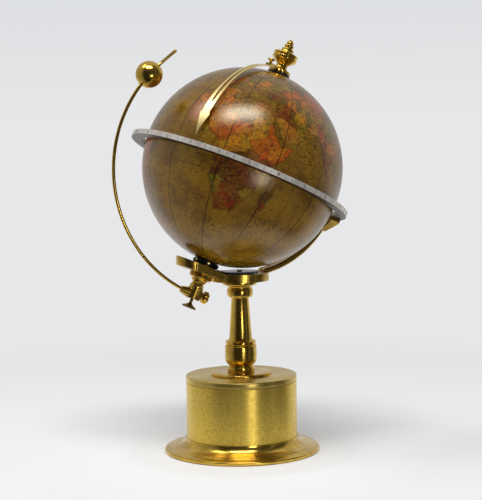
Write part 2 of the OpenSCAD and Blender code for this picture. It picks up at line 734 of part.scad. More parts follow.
module thumb_screw() color("#6b5526") polar() rotate([180, 0, 0]) lathe([
  [0, arbor_low + 1.4], [thumb_r, arbor_low + 1.4], [thumb_r, block_low],
  [thumb_r - 0.2, block_low + 0.1],
  [thumb_r - 0.2, block_low + 2.6], [1.6, block_low + 3.2], [4.3, block_low + 4.8],
  [4.5, block_low + 5.1], [4.5, head_low - 0.3], [4.1, head_low], [0, head_low]
]);

module rod_arc(r, from, to) rotate([0, 0, from]) rotate_extrude(angle = to - from)
  translate([rod_arc_r, 0]) circle(r);

module sun_rod() color("#b8922f") rod_plane() {
  rod_arc(rod_r, rod_low_lat, rod_high_lat);
  rotate([0, 0, rod_high_lat]) translate([rod_arc_r, 0, 0]) rotate([-90, 0, 0]) lathe([
    [0, -0.3], [rod_r - 0.03, -0.3], [rod_r - 0.03, rod_tail], [rod_r - 0.5, rod_tail + 0.5],
    [0, rod_tail + 0.5]
  ]);
}

module sun_ball() color("#c39a38") rod_plane() difference() {
  rotate([0, 0, ball_lat]) translate([rod_arc_r, 0, 0]) sphere(ball_r);
  rod_arc(rod_r + 0.1, ball_lat - 8, ball_lat + 8);
}

// Movement
module pillar_places() for (a = pillar_angles) rotate([0, 0, a]) translate([pillar_at, 0, 0]) children();

module plate(z) difference() {
  hole(plate_r, z, z + plate_t);
  at(centre_xy) hole(0.9 + run_gap, z - 1, z + plate_t + 1);
  at(third_xy) hole(0.7 + run_gap, z - 1, z + plate_t + 1);
  at(escape_xy) hole(0.6 + run_gap, z - 1, z + plate_t + 1);
  at(barrel_xy) hole(pivot_r + run_gap, z - 1, z + plate_t + 1);
  pillar_places() hole(pillar_stud_r + fix_gap, z - 1, z + plate_t + 1);
}

click_pivot = [0, -10.5];
ratchet_z = plate_low - 1.8;
module movement_base_plate() color("#c0a050") {
  plate(plate_low);
  at(barrel_xy + click_pivot) hole(0.8, ratchet_z - 0.2, plate_low);
}

module movement_top_plate() color("#c0a050") {
  difference() {
    plate(plate_top);
    hole(shaft_r + run_gap, plate_top - 1, plates_over + 1);
  }
  at(inter_xy) hole(0.7, plates_over, inter_wheel_z + wheel_t + 0.6);
}

module movement_pillars() color("#b8922f") pillar_places() difference() {
    lathe([
      [0, foot_top + 0.4], [pillar_stud_r, foot_top + 0.4], [pillar_stud_r, plate_low + plate_t],
      [pillar_r + 0.5, plate_low + plate_t],
      [pillar_r + 0.5, plate_low + plate_t + 1], [pillar_r, plate_low + plate_t + 1.6],
      [pillar_r, plate_top - 1.6], [pillar_r + 0.5, plate_top - 1], [pillar_r + 0.5, plate_top],
      [0, plate_top]
    ]);
    hole(pillar_stud_r + fix_gap, plate_top - 4, plate_top + 1);
  }

module pillar_screws() color("#3f5f86") pillar_places() translate([0, 0, plates_over])
  screw(pillar_stud_r, plate_t + 3.5, 1.6, 0.8);

module spring_barrel() color("#c0a050") at(barrel_xy) translate([0, 0, barrel_z]) difference() {
  union() {
    rotate([0, 0, 0.9]) wheel(barrel_teeth, mod_barrel, barrel_floor);
    cylinder(r = barrel_body_r, h = barrel_h);
  }
  hole(barrel_body_r - 0.9, barrel_floor, barrel_h + 1);
  hole(pivot_r + run_gap, -1, barrel_h);
}

module barrel_cover() color("#c8aa5c") at(barrel_xy) translate([0, 0, barrel_z + barrel_h])
  tube(barrel_body_r, pivot_r + run_gap, cover_disc_t);

module barrel_arbor() color("#8d8f92") at(barrel_xy) {
  hole(pivot_r, ratchet_z - 1.6, plates_over - 0.2);
  hole(core_r, barrel_z + barrel_floor + 0.2, barrel_z + barrel_h - 0.2);
  translate([-1.3, -1.3, 2.4]) cube([2.6, 2.6, ratchet_z - 2.4 - 1.6]);
}

module mainspring() color("#4f5a66") at(barrel_xy) translate([0, 0, barrel_z + barrel_floor + 0.3])
  spiral_strip(core_r + 0.5, barrel_body_r - 0.9 - spring_w / 2 - fix_gap, 8, spring_w,
    barrel_h - barrel_floor - 0.7);

module ratchet_wheel() color("#8d8f92") at(barrel_xy) translate([0, 0, ratchet_z]) difference() {
  linear_extrude(1.4) polygon([
    for (i = [0 : 23]) each [polar_xy(6.2, 15 * i), polar_xy(7, 15 * i + 1), polar_xy(6.3, 15 * i + 13)]
  ]);
  translate([0, 0, -1]) cylinder(r = pivot_r + fix_gap, h = 4);
}

module click() color("#8d8f92") at(barrel_xy) translate([0, 0, ratchet_z]) difference() {
  union() {
    translate(click_pivot) cylinder(r = 1.7, h = 1.4);
    linear_extrude(1.4) polygon([[-0.9, -9.3], [4.6, -5.5], [4.9, -7.4], [1, -11.6]]);
  }
  translate([click_pivot[0], click_pivot[1], -1]) cylinder(r = 0.8 + run_gap, h = 4);
}

click_stud = [9.5, -12.5];
module click_spring() color("#3f5f86") at(barrel_xy) translate([0, 0, ratchet_z + 0.2]) {
  linear_extrude(1) polygon([
    click_stud + [0, 0.15], [4.6, -8.15], [4.3, -8.45], click_stud + [-0.3, -0.15]
  ]);
  translate(click_stud) cylinder(r = 0.8, h = plate_low - ratchet_z - 0.2);
}

module centre_wheel() color("#c8aa5c") at(centre_xy) {
  hole(0.9, plate_low + 0.2, plates_over + 4.2);
  translate([0, 0, barrel_z - 0.3]) rotate([0, 0, centre_mesh]) pinion(centre_leaves, mod_barrel, 2.2);
  translate([0, 0, centre_wheel_z]) rotate([0, 0, third_mesh]) {
    difference() {
      wheel(centre_teeth, mod_centre, wheel_t);
      translate([0, 0, -1]) spokes(5, 2.4, centre_teeth * mod_centre / 2 - 1.6, 1.4, wheel_t + 2);
    }
  }
  translate([0, 0, plates_over + 2.1]) rotate([0, 0, cannon_mesh])
    pinion(cannon_leaves, mod_motion, 1.7);
}

// Turn that puts a leaf gap of each pinion on the line to the wheel that drives it
function heading(a, b) = atan2(b[1] - a[1], b[0] - a[0]);
barrel_phase = 0.9;
function gap_turn(line, leaves) = line + 180 / leaves;
function fraction(x) = x - floor(x);
function meshed(line, teeth, phase, leaves) =
  line + 180 + 180 / leaves + fraction((line - phase) * teeth / 360) * 360 / leaves;
centre_mesh = meshed(heading(barrel_xy, centre_xy), barrel_teeth, barrel_phase, centre_leaves);
third_mesh = heading(centre_xy, third_xy);
cannon_mesh = heading(centre_xy, inter_xy);

module third_wheel() color("#c8aa5c") at(third_xy) {
  hole(0.7, plate_low + 0.2, plates_over - 0.2);
  translate([0, 0, centre_wheel_z - 0.6])
    rotate([0, 0, gap_turn(heading(third_xy, centre_xy), third_leaves)])
    pinion(third_leaves, mod_centre, 2);
  translate([0, 0, third_wheel_z]) rotate([0, 0, heading(third_xy, escape_xy)]) difference() {
    wheel(third_teeth, mod_third, wheel_t);
    translate([0, 0, -1]) spokes(5, 2.2, third_teeth * mod_third / 2 - 1.5, 1.3, wheel_t + 2);
  }
}

module escape_wheel() color("#d0b266") at(escape_xy) {
  hole(0.6, plate_low + 0.2, lever_z + 2);
  translate([0, 0, third_wheel_z - 0.6])
    rotate([0, 0, gap_turn(heading(escape_xy, third_xy), escape_leaves)])
    pinion(escape_leaves, mod_third, 2);
  translate([0, 0, lever_z]) difference() {
    linear_extrude(0.7) polygon([
      for (i = [0 : escape_teeth - 1]) each [
        polar_xy(4.3, 24 * i), polar_xy(5.5, 24 * i + 6),
        polar_xy(5.5, 24 * i + 8), polar_xy(4.3, 24 * i + 11)
      ]
    ]);
    translate([0, 0, -1]) spokes(4, 1.6, 3.5, 0.9, 3);
  }
}

module intermediate_wheel() color("#c8aa5c") at(inter_xy) difference() {
  union() {
    translate([0, 0, plates_over + 0.3]) rotate([0, 0, heading(inter_xy, [0, 0])])
      pinion(inter_leaves, mod_motion, 2.4);
    translate([0, 0, inter_wheel_z]) rotate([0, 0, gap_turn(heading(inter_xy, centre_xy), inter_teeth)])
      wheel(inter_teeth, mod_motion, wheel_t);
  }
  hole(0.7 + run_gap, plates_over, inter_wheel_z + 2);
}

module output_wheel() color("#c8aa5c") difference() {
  union() {
    translate([0, 0, output_z]) rotate([0, 0, gap_turn(inter_a, output_teeth)]) difference() {
      wheel(output_teeth, mod_motion, wheel_t);
      translate([0, 0, -1]) spokes(5, 4, output_teeth * mod_motion / 2 - 2, 1.8, wheel_t + 2);
    }
    hole(3, plates_over + 0.2, output_z + wheel_t + 0.4);
  }
  hole(shaft_r + run_gap, plates_over - 1, output_z + 3);
}

// Escapement, in the frame of the line from the escape wheel to the balance
platform_posts = [[-8.5, 6], [12, 6.2], [24.3, 5.5], [24.3, -6]];
cock_foot_x = balance_x + 9.5;
platform_w = 14.8;
platform_back = 10;
platform_nose = 2.5;
module escapement_platform() color("#c0a050") escape_frame() {
  difference() {
    translate([-platform_back, -platform_w / 2, platform_z])
      cube([platform_back + cock_foot_x + platform_nose, platform_w, platform_t]);
    hole(0.6 + run_gap, platform_z - 1, platform_z + 2);
    translate([lever_x, 0, 0]) hole(0.5 + run_gap, platform_z - 1, platform_z + 2);
    translate([balance_x, 0, 0]) hole(0.5 + run_gap, platform_z - 1, platform_z + 2);
  }
  for (p = platform_posts) at(p) hole(1.5, plates_over, platform_z);
  difference() {
    union() {
      translate([-7.8, 0, 0]) hole(1.3, platform_z + platform_t, lever_z + 1.9);
      translate([lever_x, 5.9, 0]) hole(1.3, platform_z + platform_t, lever_z + 1.9);
      translate([-8.6, -1.4, lever_z + 1.2]) cube([lever_x + 10, 2.8, 0.7]);
      translate([lever_x - 1.4, -1.4, lever_z + 1.2]) cube([2.8, 7.6, 0.7]);
    }
    hole(0.6 + run_gap, lever_z, lever_z + 3);
    translate([lever_x, 0, 0]) hole(0.5 + run_gap, lever_z, lever_z + 3);
  }
}

module lever() color("#8d8f92") escape_frame() {
  translate([lever_x, 0, 0]) hole(0.5, platform_z + 0.2, lever_z + 1.8);
  translate([0, 0, lever_z]) linear_extrude(0.6) polygon([
    [5.2, 3], [5.9, 3.4], [8, 1], [12.3, 0.5], [12.3, -0.5], [8, -1], [5.9, -3.4], [5.2, -3], [6.5, 0]
  ]);
}

balance_rim = 7;
module balance_wheel() color("#d0b266") escape_frame() translate([balance_x, 0, 0]) {
  hole(0.5, platform_z + 0.2, cock_z + 0.6);
  hole(1.6, lever_z + 0.9, lever_z + 1.3);
  translate([0, 0, lever_z + 2.6]) {
    difference() {
      cylinder(r = balance_rim, h = 1.1);
      translate([0, 0, -1]) cylinder(r = balance_rim - 0.9, h = 4);
    }
    translate([0.8 - balance_rim, -0.6, 0]) cube([2 * balance_rim - 1.6, 1.2, 0.6]);
  }
  hole(1.1, lever_z + 3.8, lever_z + 4.4);
}

hair_w = 0.15;
module hairspring() color("#3f5f86") escape_frame() translate([balance_x, 0, lever_z + 3.9])
  spiral_strip(1.1 + hair_w / 2, 4.4, 6, hair_w, 0.5);

module balance_cock() color("#c0a050") escape_frame() difference() {
  union() {
    translate([cock_foot_x, 0, 0]) hole(2.1, platform_z + platform_t, cock_z);
    translate([balance_x - 1.6, -1.7, cock_z]) cube([cock_foot_x - balance_x + 3.7, 3.4, 0.8]);
    translate([balance_x, 0, cock_z]) cylinder(r = 2.6, h = 0.8);
    translate([balance_x, 0, cock_z]) cylinder(r = 1.2, h = 1);
    translate([balance_x + 5.1, 0, 0]) hole(0.4, lever_z + 3.9, cock_z + 0.4);
  }
  translate([balance_x, 0, 0]) hole(0.5 + run_gap, cock_z - 1, cock_z + 0.7);
}

module regulator() color("#8d8f92") escape_frame()
  translate([balance_x, 0, cock_z + 0.85]) difference() {
  union() {
    cylinder(r = 2.1, h = 0.5);
    rotate([0, 0, 150]) translate([0, -0.5, 0]) cube([6.5, 1, 0.5]);
  }
  translate([0, 0, -1]) cylinder(r = 1.2 + run_gap, h = 3);
}

key_low = 1.2;
module winding_key() color("#b8922f") at(barrel_xy) difference() {
  union() {
    hole(3, 2.2, cover_z - 0.3);
    translate([0, 0, key_low]) linear_extrude(cover_z - key_low - 2) {
      for (s = [-1, 1]) translate([s * 6, 0]) circle(3.4);
      square([12, 2.4], center = true);
    }
  }
  translate([-1.3 - fix_gap, -1.3 - fix_gap, 2.35]) cube([2.6 + 2 * fix_gap, 2.6 + 2 * fix_gap, foot_h]);
}

base_foot();
bottom_cover();
cover_screws();
drum_case();
drum_lid();
column_plinth();
column();
column_nut();
bracket();
bracket_screws();
upper_bush();
hour_ring();
ring_screws();
drive_shaft();
drive_wheel();
drive_wheel_screw();
idler_wheel();
idler_stud();
polar_wheel();
polar_arbor();
globe_north();
globe_south();
equator_hoop();
pole_plugs();
south_collar();
collar_screws();
north_washer();
pointer_hub();
hour_pointer();
pointer_screw();
finial();
arm_bearing();
arm_block();
arm_knob();
thumb_screw();
sun_rod();
sun_ball();
movement_base_plate();
movement_top_plate();
movement_pillars();
pillar_screws();
spring_barrel();
barrel_cover();
barrel_arbor();
mainspring();
ratchet_wheel();
click();
click_spring();
centre_wheel();
third_wheel();
escape_wheel();
intermediate_wheel();
output_wheel();
escapement_platform();
lever();
balance_wheel();
hairspring();
balance_cock();
regulator();
winding_key();
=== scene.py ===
"""Looks of the clockwork globe: finishes, printed map, turned brass, dial marks and studio."""

import json
import logging
import math
from dataclasses import dataclass
from enum import Enum
from typing import Callable, Iterable, Sequence

import bpy
import numpy as np
from mathutils import Matrix, Vector

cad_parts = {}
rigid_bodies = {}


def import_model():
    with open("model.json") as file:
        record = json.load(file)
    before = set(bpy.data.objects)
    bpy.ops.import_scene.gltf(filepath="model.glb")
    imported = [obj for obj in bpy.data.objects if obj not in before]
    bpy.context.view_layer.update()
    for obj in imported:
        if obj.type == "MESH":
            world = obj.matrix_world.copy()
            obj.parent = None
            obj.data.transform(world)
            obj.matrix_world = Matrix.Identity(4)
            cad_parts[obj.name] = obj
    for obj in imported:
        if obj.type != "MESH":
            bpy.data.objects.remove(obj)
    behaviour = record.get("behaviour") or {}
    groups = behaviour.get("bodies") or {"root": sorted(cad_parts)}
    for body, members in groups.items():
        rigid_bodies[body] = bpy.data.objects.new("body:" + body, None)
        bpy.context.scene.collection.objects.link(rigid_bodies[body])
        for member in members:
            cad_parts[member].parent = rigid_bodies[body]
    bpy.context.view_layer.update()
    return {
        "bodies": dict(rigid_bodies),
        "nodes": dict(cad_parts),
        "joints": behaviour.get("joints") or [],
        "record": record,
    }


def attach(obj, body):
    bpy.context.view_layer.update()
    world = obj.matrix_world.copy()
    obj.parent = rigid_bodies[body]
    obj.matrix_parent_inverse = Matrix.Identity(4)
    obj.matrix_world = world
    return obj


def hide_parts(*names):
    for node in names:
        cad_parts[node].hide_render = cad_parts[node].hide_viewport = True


LOG = logging.getLogger("globe_clock")
MM = 0.001
Colour = tuple[float, float, float]
Point = tuple[float, float]
Profile = list[Point]
Hole = tuple[float, float, float, float, float]
Socket = bpy.types.NodeSocket
WELD = 1e-6


def tint(red: int, green: int, blue: int) -> Colour:
    """Linear colour of three screen values from 0 to 255."""
    return tuple(((v / 255 + 0.055) / 1.055) ** 2.4 if v > 10 else v / 3295 for v in (red, green, blue))


# The polar axis leans 24 degrees towards azimuth 24, and passes the bevel wheels' apex
POLE_LEAN = math.radians(24)
POLE_TURN = math.radians(24)
APEX = Vector((0, 0, 172.266)) * MM
GLOBE_LIFT = 7.7 * MM
GLOBE_R = 63.0
POLAR_FRAME = (
    Matrix.Translation(APEX)
    @ Matrix.Rotation(POLE_TURN, 4, "Z")
    @ Matrix.Rotation(POLE_LEAN, 4, "Y")
    @ Matrix.Translation((0, 0, GLOBE_LIFT))
)


class Axis(Enum):
    """The line a piece was turned about, as the place of its own frame."""

    UPRIGHT = "upright"
    POLAR = "polar"

    @property
    def place(self) -> Matrix:
        """Where the frame of this axis stands."""
        return POLAR_FRAME if self is Axis.POLAR else Matrix.Identity(4)


class Body(Enum):
    """CAD bodies that new pieces ride on."""

    STAND = "stand"
    GLOBE = "globe"
    POINTER = "pointer"
    POINTER_SCREW = "pointer_screw"
    FINIAL = "finial"
    THUMB_SCREW = "thumb_screw"


def fill_ramp(ramp: bpy.types.Node, stops: Sequence[tuple[float, Colour]]) -> None:
    """Sets the stops of a colour ramp, given in order.

    Args:
        ramp: The ramp's node.
        stops: Places and colours.
    """
    marks = ramp.color_ramp.elements
    while len(marks) < len(stops):
        marks.new(1.0)
    for mark, (place, colour) in zip(marks, stops):
        mark.position, mark.color = place, (*colour, 1)


class Recipe:
    """Node tree of one material, with short calls for its usual nodes."""

    def __init__(self, name: str) -> None:
        """Starts a material with one shader.

        Args:
            name: The material's name.
        """
        self.material = bpy.data.materials.new(name)
        self.material.use_nodes = True
        self.tree = self.material.node_tree
        self.shader = self.tree.nodes["Principled BSDF"]

    def add(self, kind: str, **settings: object) -> bpy.types.Node:
        """Adds a node.

        Args:
            kind: The node's type, without its prefix.
            **settings: Properties to set on it.

        Returns:
            The node.
        """
        node = self.tree.nodes.new("ShaderNode" + kind)
        for key, value in settings.items():
            setattr(node, key, value)
        return node

    def feed(self, socket: Socket, value: object) -> None:
        """Links a socket to another, or sets its plain value.

        Args:
            socket: The input.
            value: An output, a number, or a colour.
        """
        if isinstance(value, Socket):
            self.tree.links.new(value, socket)
        elif isinstance(value, tuple) and len(value) == 3 and socket.type == "RGBA":
            socket.default_value = (*value, 1)
        else:
            socket.default_value = value

    def math(self, operation: str, *values: object) -> Socket:
        """Result of one Math node on the values.

        Args:
            operation: The node's operation.
            *values: Outputs or numbers.

        Returns:
            The result.
        """
        node = self.add("Math", operation=operation)
        for socket, value in zip(node.inputs, values):
            self.feed(socket, value)
        return node.outputs[0]

    def place(self, frame: Matrix) -> Socket:
        """Object coordinates as seen from a frame.

        Args:
            frame: Where the frame stands.

        Returns:
            The turned and shifted coordinates, in metres.
        """
        seen = frame.inverted()
        mapping = self.add("Mapping", vector_type="POINT")
        mapping.inputs["Location"].default_value = seen.to_translation()
        mapping.inputs["Rotation"].default_value = seen.to_euler("XYZ")
        self.feed(mapping.inputs["Vector"], self.add("TexCoord").outputs["Object"])
        return mapping.outputs[0]

    def split(self, vector: Socket) -> tuple[Socket, ...]:
        """The three parts of a vector.

        Args:
            vector: The vector.

        Returns:
            Its x, y and z.
        """
        node = self.add("SeparateXYZ")
        self.feed(node.inputs[0], vector)
        return tuple(node.outputs)

    def join(self, *parts: object) -> Socket:
        """A vector of up to three parts.

        Args:
            *parts: Outputs or numbers.

        Returns:
            The vector.
        """
        node = self.add("CombineXYZ")
        for socket, value in zip(node.inputs, parts):
            self.feed(socket, value)
        return node.outputs[0]

    def attribute(self, name: str, output: str) -> Socket:
        """An output of an attribute of the mesh."""
        return self.add("Attribute", attribute_name=name).outputs[output]

    def length(self, *parts: object) -> Socket:
        """The length of a vector of up to three parts.

        Args:
            *parts: Outputs or numbers.

        Returns:
            Its length.
        """
        node = self.add("VectorMath", operation="LENGTH")
        self.feed(node.inputs[0], self.join(*parts))
        return node.outputs["Value"]

    def give(self, **values: object) -> None:
        """Sets plain values of the shader, whose names have a low line for each space."""
        for key, value in values.items():
            self.shader.inputs[key.replace("_", " ")].default_value = value

    def paint(self, colour: object, rough: object) -> None:
        """Gives the shader its colour and its roughness."""
        self.feed(self.shader.inputs["Base Color"], colour)
        self.feed(self.shader.inputs["Roughness"], rough)

    def glow(self, colour: object) -> Socket:
        """Light of a colour, as a shader.

        Args:
            colour: An output or a colour.

        Returns:
            The shader.
        """
        node = self.add("Emission")
        self.feed(node.inputs["Color"], colour)
        return node.outputs[0]

    def surface(self, shader: Socket) -> None:
        """Makes a shader the material's surface."""
        self.feed(self.tree.nodes["Material Output"].inputs["Surface"], shader)

    def noise(self, where: Socket, size: float, detail: float = 2, rough: float = 0.5) -> Socket:
        """Smooth noise about 0.5.

        Args:
            where: The coordinates.
            size: The size of its forms in millimetres.
            detail: Its octaves.
            rough: How strong the finer octaves are.

        Returns:
            The noise.
        """
        node = self.add("TexNoise")
        self.feed(node.inputs["Vector"], where)
        for key, value in (("Scale", 1 / (size * MM)), ("Detail", detail), ("Roughness", rough)):
            node.inputs[key].default_value = value
        return node.outputs["Fac"]

    def ease(self, value: Socket, low: float, high: float, start: float = 0, end: float = 1) -> Socket:
        """A smooth step of a value from start at low to end at high.

        Args:
            value: The value.
            low: Where the step begins.
            high: Where it ends.
            start: The result at low.
            end: The result at high.

        Returns:
            The eased value.
        """
        node = self.add("MapRange", interpolation_type="SMOOTHSTEP")
        for socket, given in zip(node.inputs, (value, low, high, start, end)):
            self.feed(socket, given)
        return node.outputs[0]

    def ramp(self, value: Socket, stops: Sequence[tuple[float, Colour]], kind: str = "LINEAR") -> Socket:
        """A colour looked up on a ramp.

        Args:
            value: Where on the ramp, from 0 to 1.
            stops: Places and colours, in order.
            kind: How it goes from stop to stop.

        Returns:
            The colour.
        """
        node = self.add("ValToRGB")
        node.color_ramp.interpolation = kind
        fill_ramp(node, stops)
        self.feed(node.inputs[0], value)
        return node.outputs[0]

    def blend(self, share: object, low: object, high: object) -> Socket:
        """Two colours mixed.

        Args:
            share: How much of the second colour shows.
            low: The first colour.
            high: The second colour.

        Returns:
            The mixed colour.
        """
        node = self.add("Mix", data_type="RGBA")
        for socket, value in ((node.inputs[0], share), (node.inputs[6], low), (node.inputs[7], high)):
            self.feed(socket, value)
        return node.outputs[2]

    def relief(self, height: Socket, depth: float) -> None:
        """Raises the surface by a height from 0 to 1, times a depth in millimetres.

        Args:
            height: The height.
            depth: The depth.
        """
        bump = self.add("Bump")
        bump.inputs["Distance"].default_value = depth * MM
        self.feed(bump.inputs["Height"], height)
        self.feed(self.shader.inputs["Normal"], bump.outputs[0])

    def round_about(self, frame: Matrix) -> Socket:
        """Directions round the upright axis of a frame, as turned grooves run.

        Args:
            frame: Where the frame stands.

        Returns:
            A tangent for brushed reflections.
        """
        offset = self.add("VectorMath", operation="SUBTRACT")
        self.feed(offset.inputs[0], self.add("TexCoord").outputs["Object"])
        offset.inputs[1].default_value = frame.to_translation()
        cross = self.add("VectorMath", operation="CROSS_PRODUCT")
        cross.inputs[0].default_value = frame.to_3x3() @ Vector((0, 0, 1))
        self.feed(cross.inputs[1], offset.outputs[0])
        turned = self.add("VectorTransform", vector_type="VECTOR")
        turned.convert_from, turned.convert_to = "OBJECT", "WORLD"
        self.feed(turned.inputs[0], cross.outputs[0])
        return turned.outputs[0]

    def turned_lines(self, where: Socket, pitch: float) -> Socket:
        """Fine lines round the axis, as a lathe tool leaves them, from radius and height alone."""
        x, y, z = self.split(where)
        return self.noise(self.join(self.length(x, y), z), pitch, 3, 0.7)


@dataclass(frozen=True)
class MetalFinish:
    """A metal surface: two tones, turned lines, mottled patina, small dark specks and, where asked, painted
    shade below a height.
    """

    name: str
    bright: Colour
    dull: Colour
    roughness: float = 0.22
    spread: float = 0.1
    patina: float = 9.0
    patina_share: float = 0.5
    lines: float = 0.0
    line_depth: float = 0.004
    grain_depth: float = 0.004
    specks: float = 0.0
    speck_size: float = 1.1
    # the specks' colour, which is also the colour of the painted shade on the lowest part
    speck_and_shade_tone: Colour = (0.04, 0.03, 0.012)
    metal: float = 1.0
    brushed: float = 0.0
    # height in mm below which the colour darkens into painted shade, standing in for the shade under the
    # piece
    painted_shade_below: float | None = None

    def material(self, axis: Axis) -> bpy.types.Material:
        """The finish on pieces turned about an axis.

        Args:
            axis: The line that its turned lines go round.

        Returns:
            The material, made once.
        """
        name = f"{self.name}_{axis.value}"
        if name in bpy.data.materials:
            return bpy.data.materials[name]
        recipe = Recipe(name)
        where = recipe.place(axis.place)
        cloud = recipe.noise(where, self.patina, 5, 0.62)
        share = recipe.math("MULTIPLY", recipe.ease(cloud, 0.36, 0.66), self.patina_share)
        grain = recipe.noise(where, 0.45, 3, 0.6)
        colour = recipe.blend(share, self.bright, self.dull)
        colour = recipe.blend(recipe.ease(grain, 0.55, 0.8, 0, 0.35), colour, self.dull)
        rough = recipe.math("MULTIPLY_ADD", cloud, 2 * self.spread, self.roughness - self.spread)
        height, depth = grain, self.grain_depth
        if self.lines:
            lines = recipe.turned_lines(where, self.lines)
            rough = recipe.math("MULTIPLY_ADD", lines, 0.12, recipe.math("SUBTRACT", rough, 0.06))
            colour = recipe.blend(recipe.ease(lines, 0.5, 0.85, 0, 0.4), colour, self.dull)
            height = recipe.math("MULTIPLY_ADD", lines, 1.0, recipe.math("MULTIPLY", grain, 0.25))
            depth = self.line_depth
        if self.specks:
            spots = recipe.noise(where, self.speck_size, 4, 0.75)
            spot = recipe.ease(spots, 0.66 - self.specks * 0.16, 0.76 - self.specks * 0.1, 0, 0.8)
            colour = recipe.blend(spot, colour, self.speck_and_shade_tone)
            rough = recipe.math("MULTIPLY_ADD", spot, 0.25, rough)
        # painted shade: below the given height the colour darkens to the speck tone, standing in for the
        # shade under the piece
        if self.painted_shade_below is not None:
            low = recipe.ease(recipe.split(where)[2], (self.painted_shade_below + 0.25) * MM, self.painted_shade_below * MM)
            colour = recipe.blend(low, colour, self.speck_and_shade_tone)
        recipe.paint(colour, rough)
        recipe.give(Metallic=self.metal)
        if self.brushed:
            recipe.give(Anisotropic=self.brushed, Anisotropic_Rotation=0.25)
            recipe.feed(recipe.shader.inputs["Tangent"], recipe.round_about(axis.place))
        recipe.relief(height, depth)
        return recipe.material


@dataclass(frozen=True)
class CoatedFinish:
    """Lacquer, fibre or printing ink: a plain body, worn in places."""

    name: str
    body: Colour
    worn: Colour
    roughness: float

    def material(self, axis: Axis) -> bpy.types.Material:
        """The finish on pieces of an axis.

        Args:
            axis: The frame that its pattern lies in.

        Returns:
            The material, made once.
        """
        name = f"{self.name}_{axis.value}"
        if name in bpy.data.materials:
            return bpy.data.materials[name]
        recipe = Recipe(name)
        where = recipe.place(axis.place)
        cloud = recipe.noise(where, 2.5, 5, 0.65)
        colour = recipe.blend(recipe.ease(cloud, 0.5, 0.75), self.body, self.worn)
        recipe.paint(colour, recipe.math("MULTIPLY_ADD", cloud, 0.3, self.roughness - 0.15))
        recipe.relief(recipe.noise(where, 0.3, 3, 0.6), 0.006)
        return recipe.material


BRIGHT, DULL = (0.76, 0.5, 0.09), (0.42, 0.25, 0.035)
POLISHED_BRASS = MetalFinish(
    "polished_brass", BRIGHT, DULL, 0.21, 0.04, 8.0, 0.6, lines=0.5, specks=0.1, brushed=0.6
)
RUBBED_BRASS = MetalFinish("rubbed_brass", BRIGHT, DULL, 0.2, 0.04, 7.0, 0.6, specks=0.1)
SATIN_BRASS = MetalFinish(
    "satin_brass", (0.74, 0.55, 0.15), (0.48, 0.33, 0.07), 0.34, 0.05, 9.0, 0.6,
    lines=0.4, specks=0.1, brushed=0.6,
)
CAST_BRASS = MetalFinish(
    "cast_brass", (0.64, 0.41, 0.075), (0.34, 0.2, 0.03), 0.27, 0.05, 6.0, 0.7, specks=0.2
)
DRUM_BRASS = MetalFinish(
    "mottled_brass", (0.88, 0.63, 0.12), (0.5, 0.33, 0.045), 0.36, 0.05, 1.6, 0.5,
    lines=0.7, line_depth=0.003, specks=0.5, speck_size=1.3, speck_and_shade_tone=(0.12, 0.075, 0.015), brushed=0.7,
)
DARK_BRASS = MetalFinish(
    "dark_brass", (0.3, 0.19, 0.05), (0.1, 0.06, 0.02), 0.36, 0.1, 4.0, 0.7, lines=0.5, specks=0.3
)
POINTER_BRASS = MetalFinish("bright_brass", (0.92, 0.76, 0.34), (0.66, 0.48, 0.14), 0.3, 0.05, 7.0, 0.3)
MOVEMENT_BRASS = MetalFinish(
    "movement_brass", (0.78, 0.6, 0.27), (0.62, 0.46, 0.18), 0.28, 0.06, 9.0, 0.5, lines=0.6
)
# its lower edge and underside carry painted shade, darkened like the shade under the ring
SILVERED = MetalFinish(
    "silvered_ring", (0.78, 0.73, 0.67), (0.42, 0.37, 0.31), 0.36, 0.07, 5.0, 0.6,
    lines=0.3, specks=0.2, metal=0.62, painted_shade_below=-6.85,
)
STEEL = MetalFinish("steel", (0.5, 0.51, 0.52), (0.3, 0.31, 0.32), 0.26, 0.08, 6.0, 0.5, lines=0.4)
BLUED_STEEL = MetalFinish("blued_steel", (0.035, 0.07, 0.2), (0.02, 0.03, 0.08), 0.22, 0.06, 3.0, 0.5)
BLACK_COLLAR = CoatedFinish("black_collar", (0.006, 0.005, 0.004), (0.03, 0.016, 0.006), 0.5)
FIBRE = CoatedFinish("fibre", tint(128, 92, 56), tint(150, 112, 70), 0.7)
INK = CoatedFinish("dial_ink", (0.03, 0.027, 0.025), (0.08, 0.07, 0.06), 0.5)


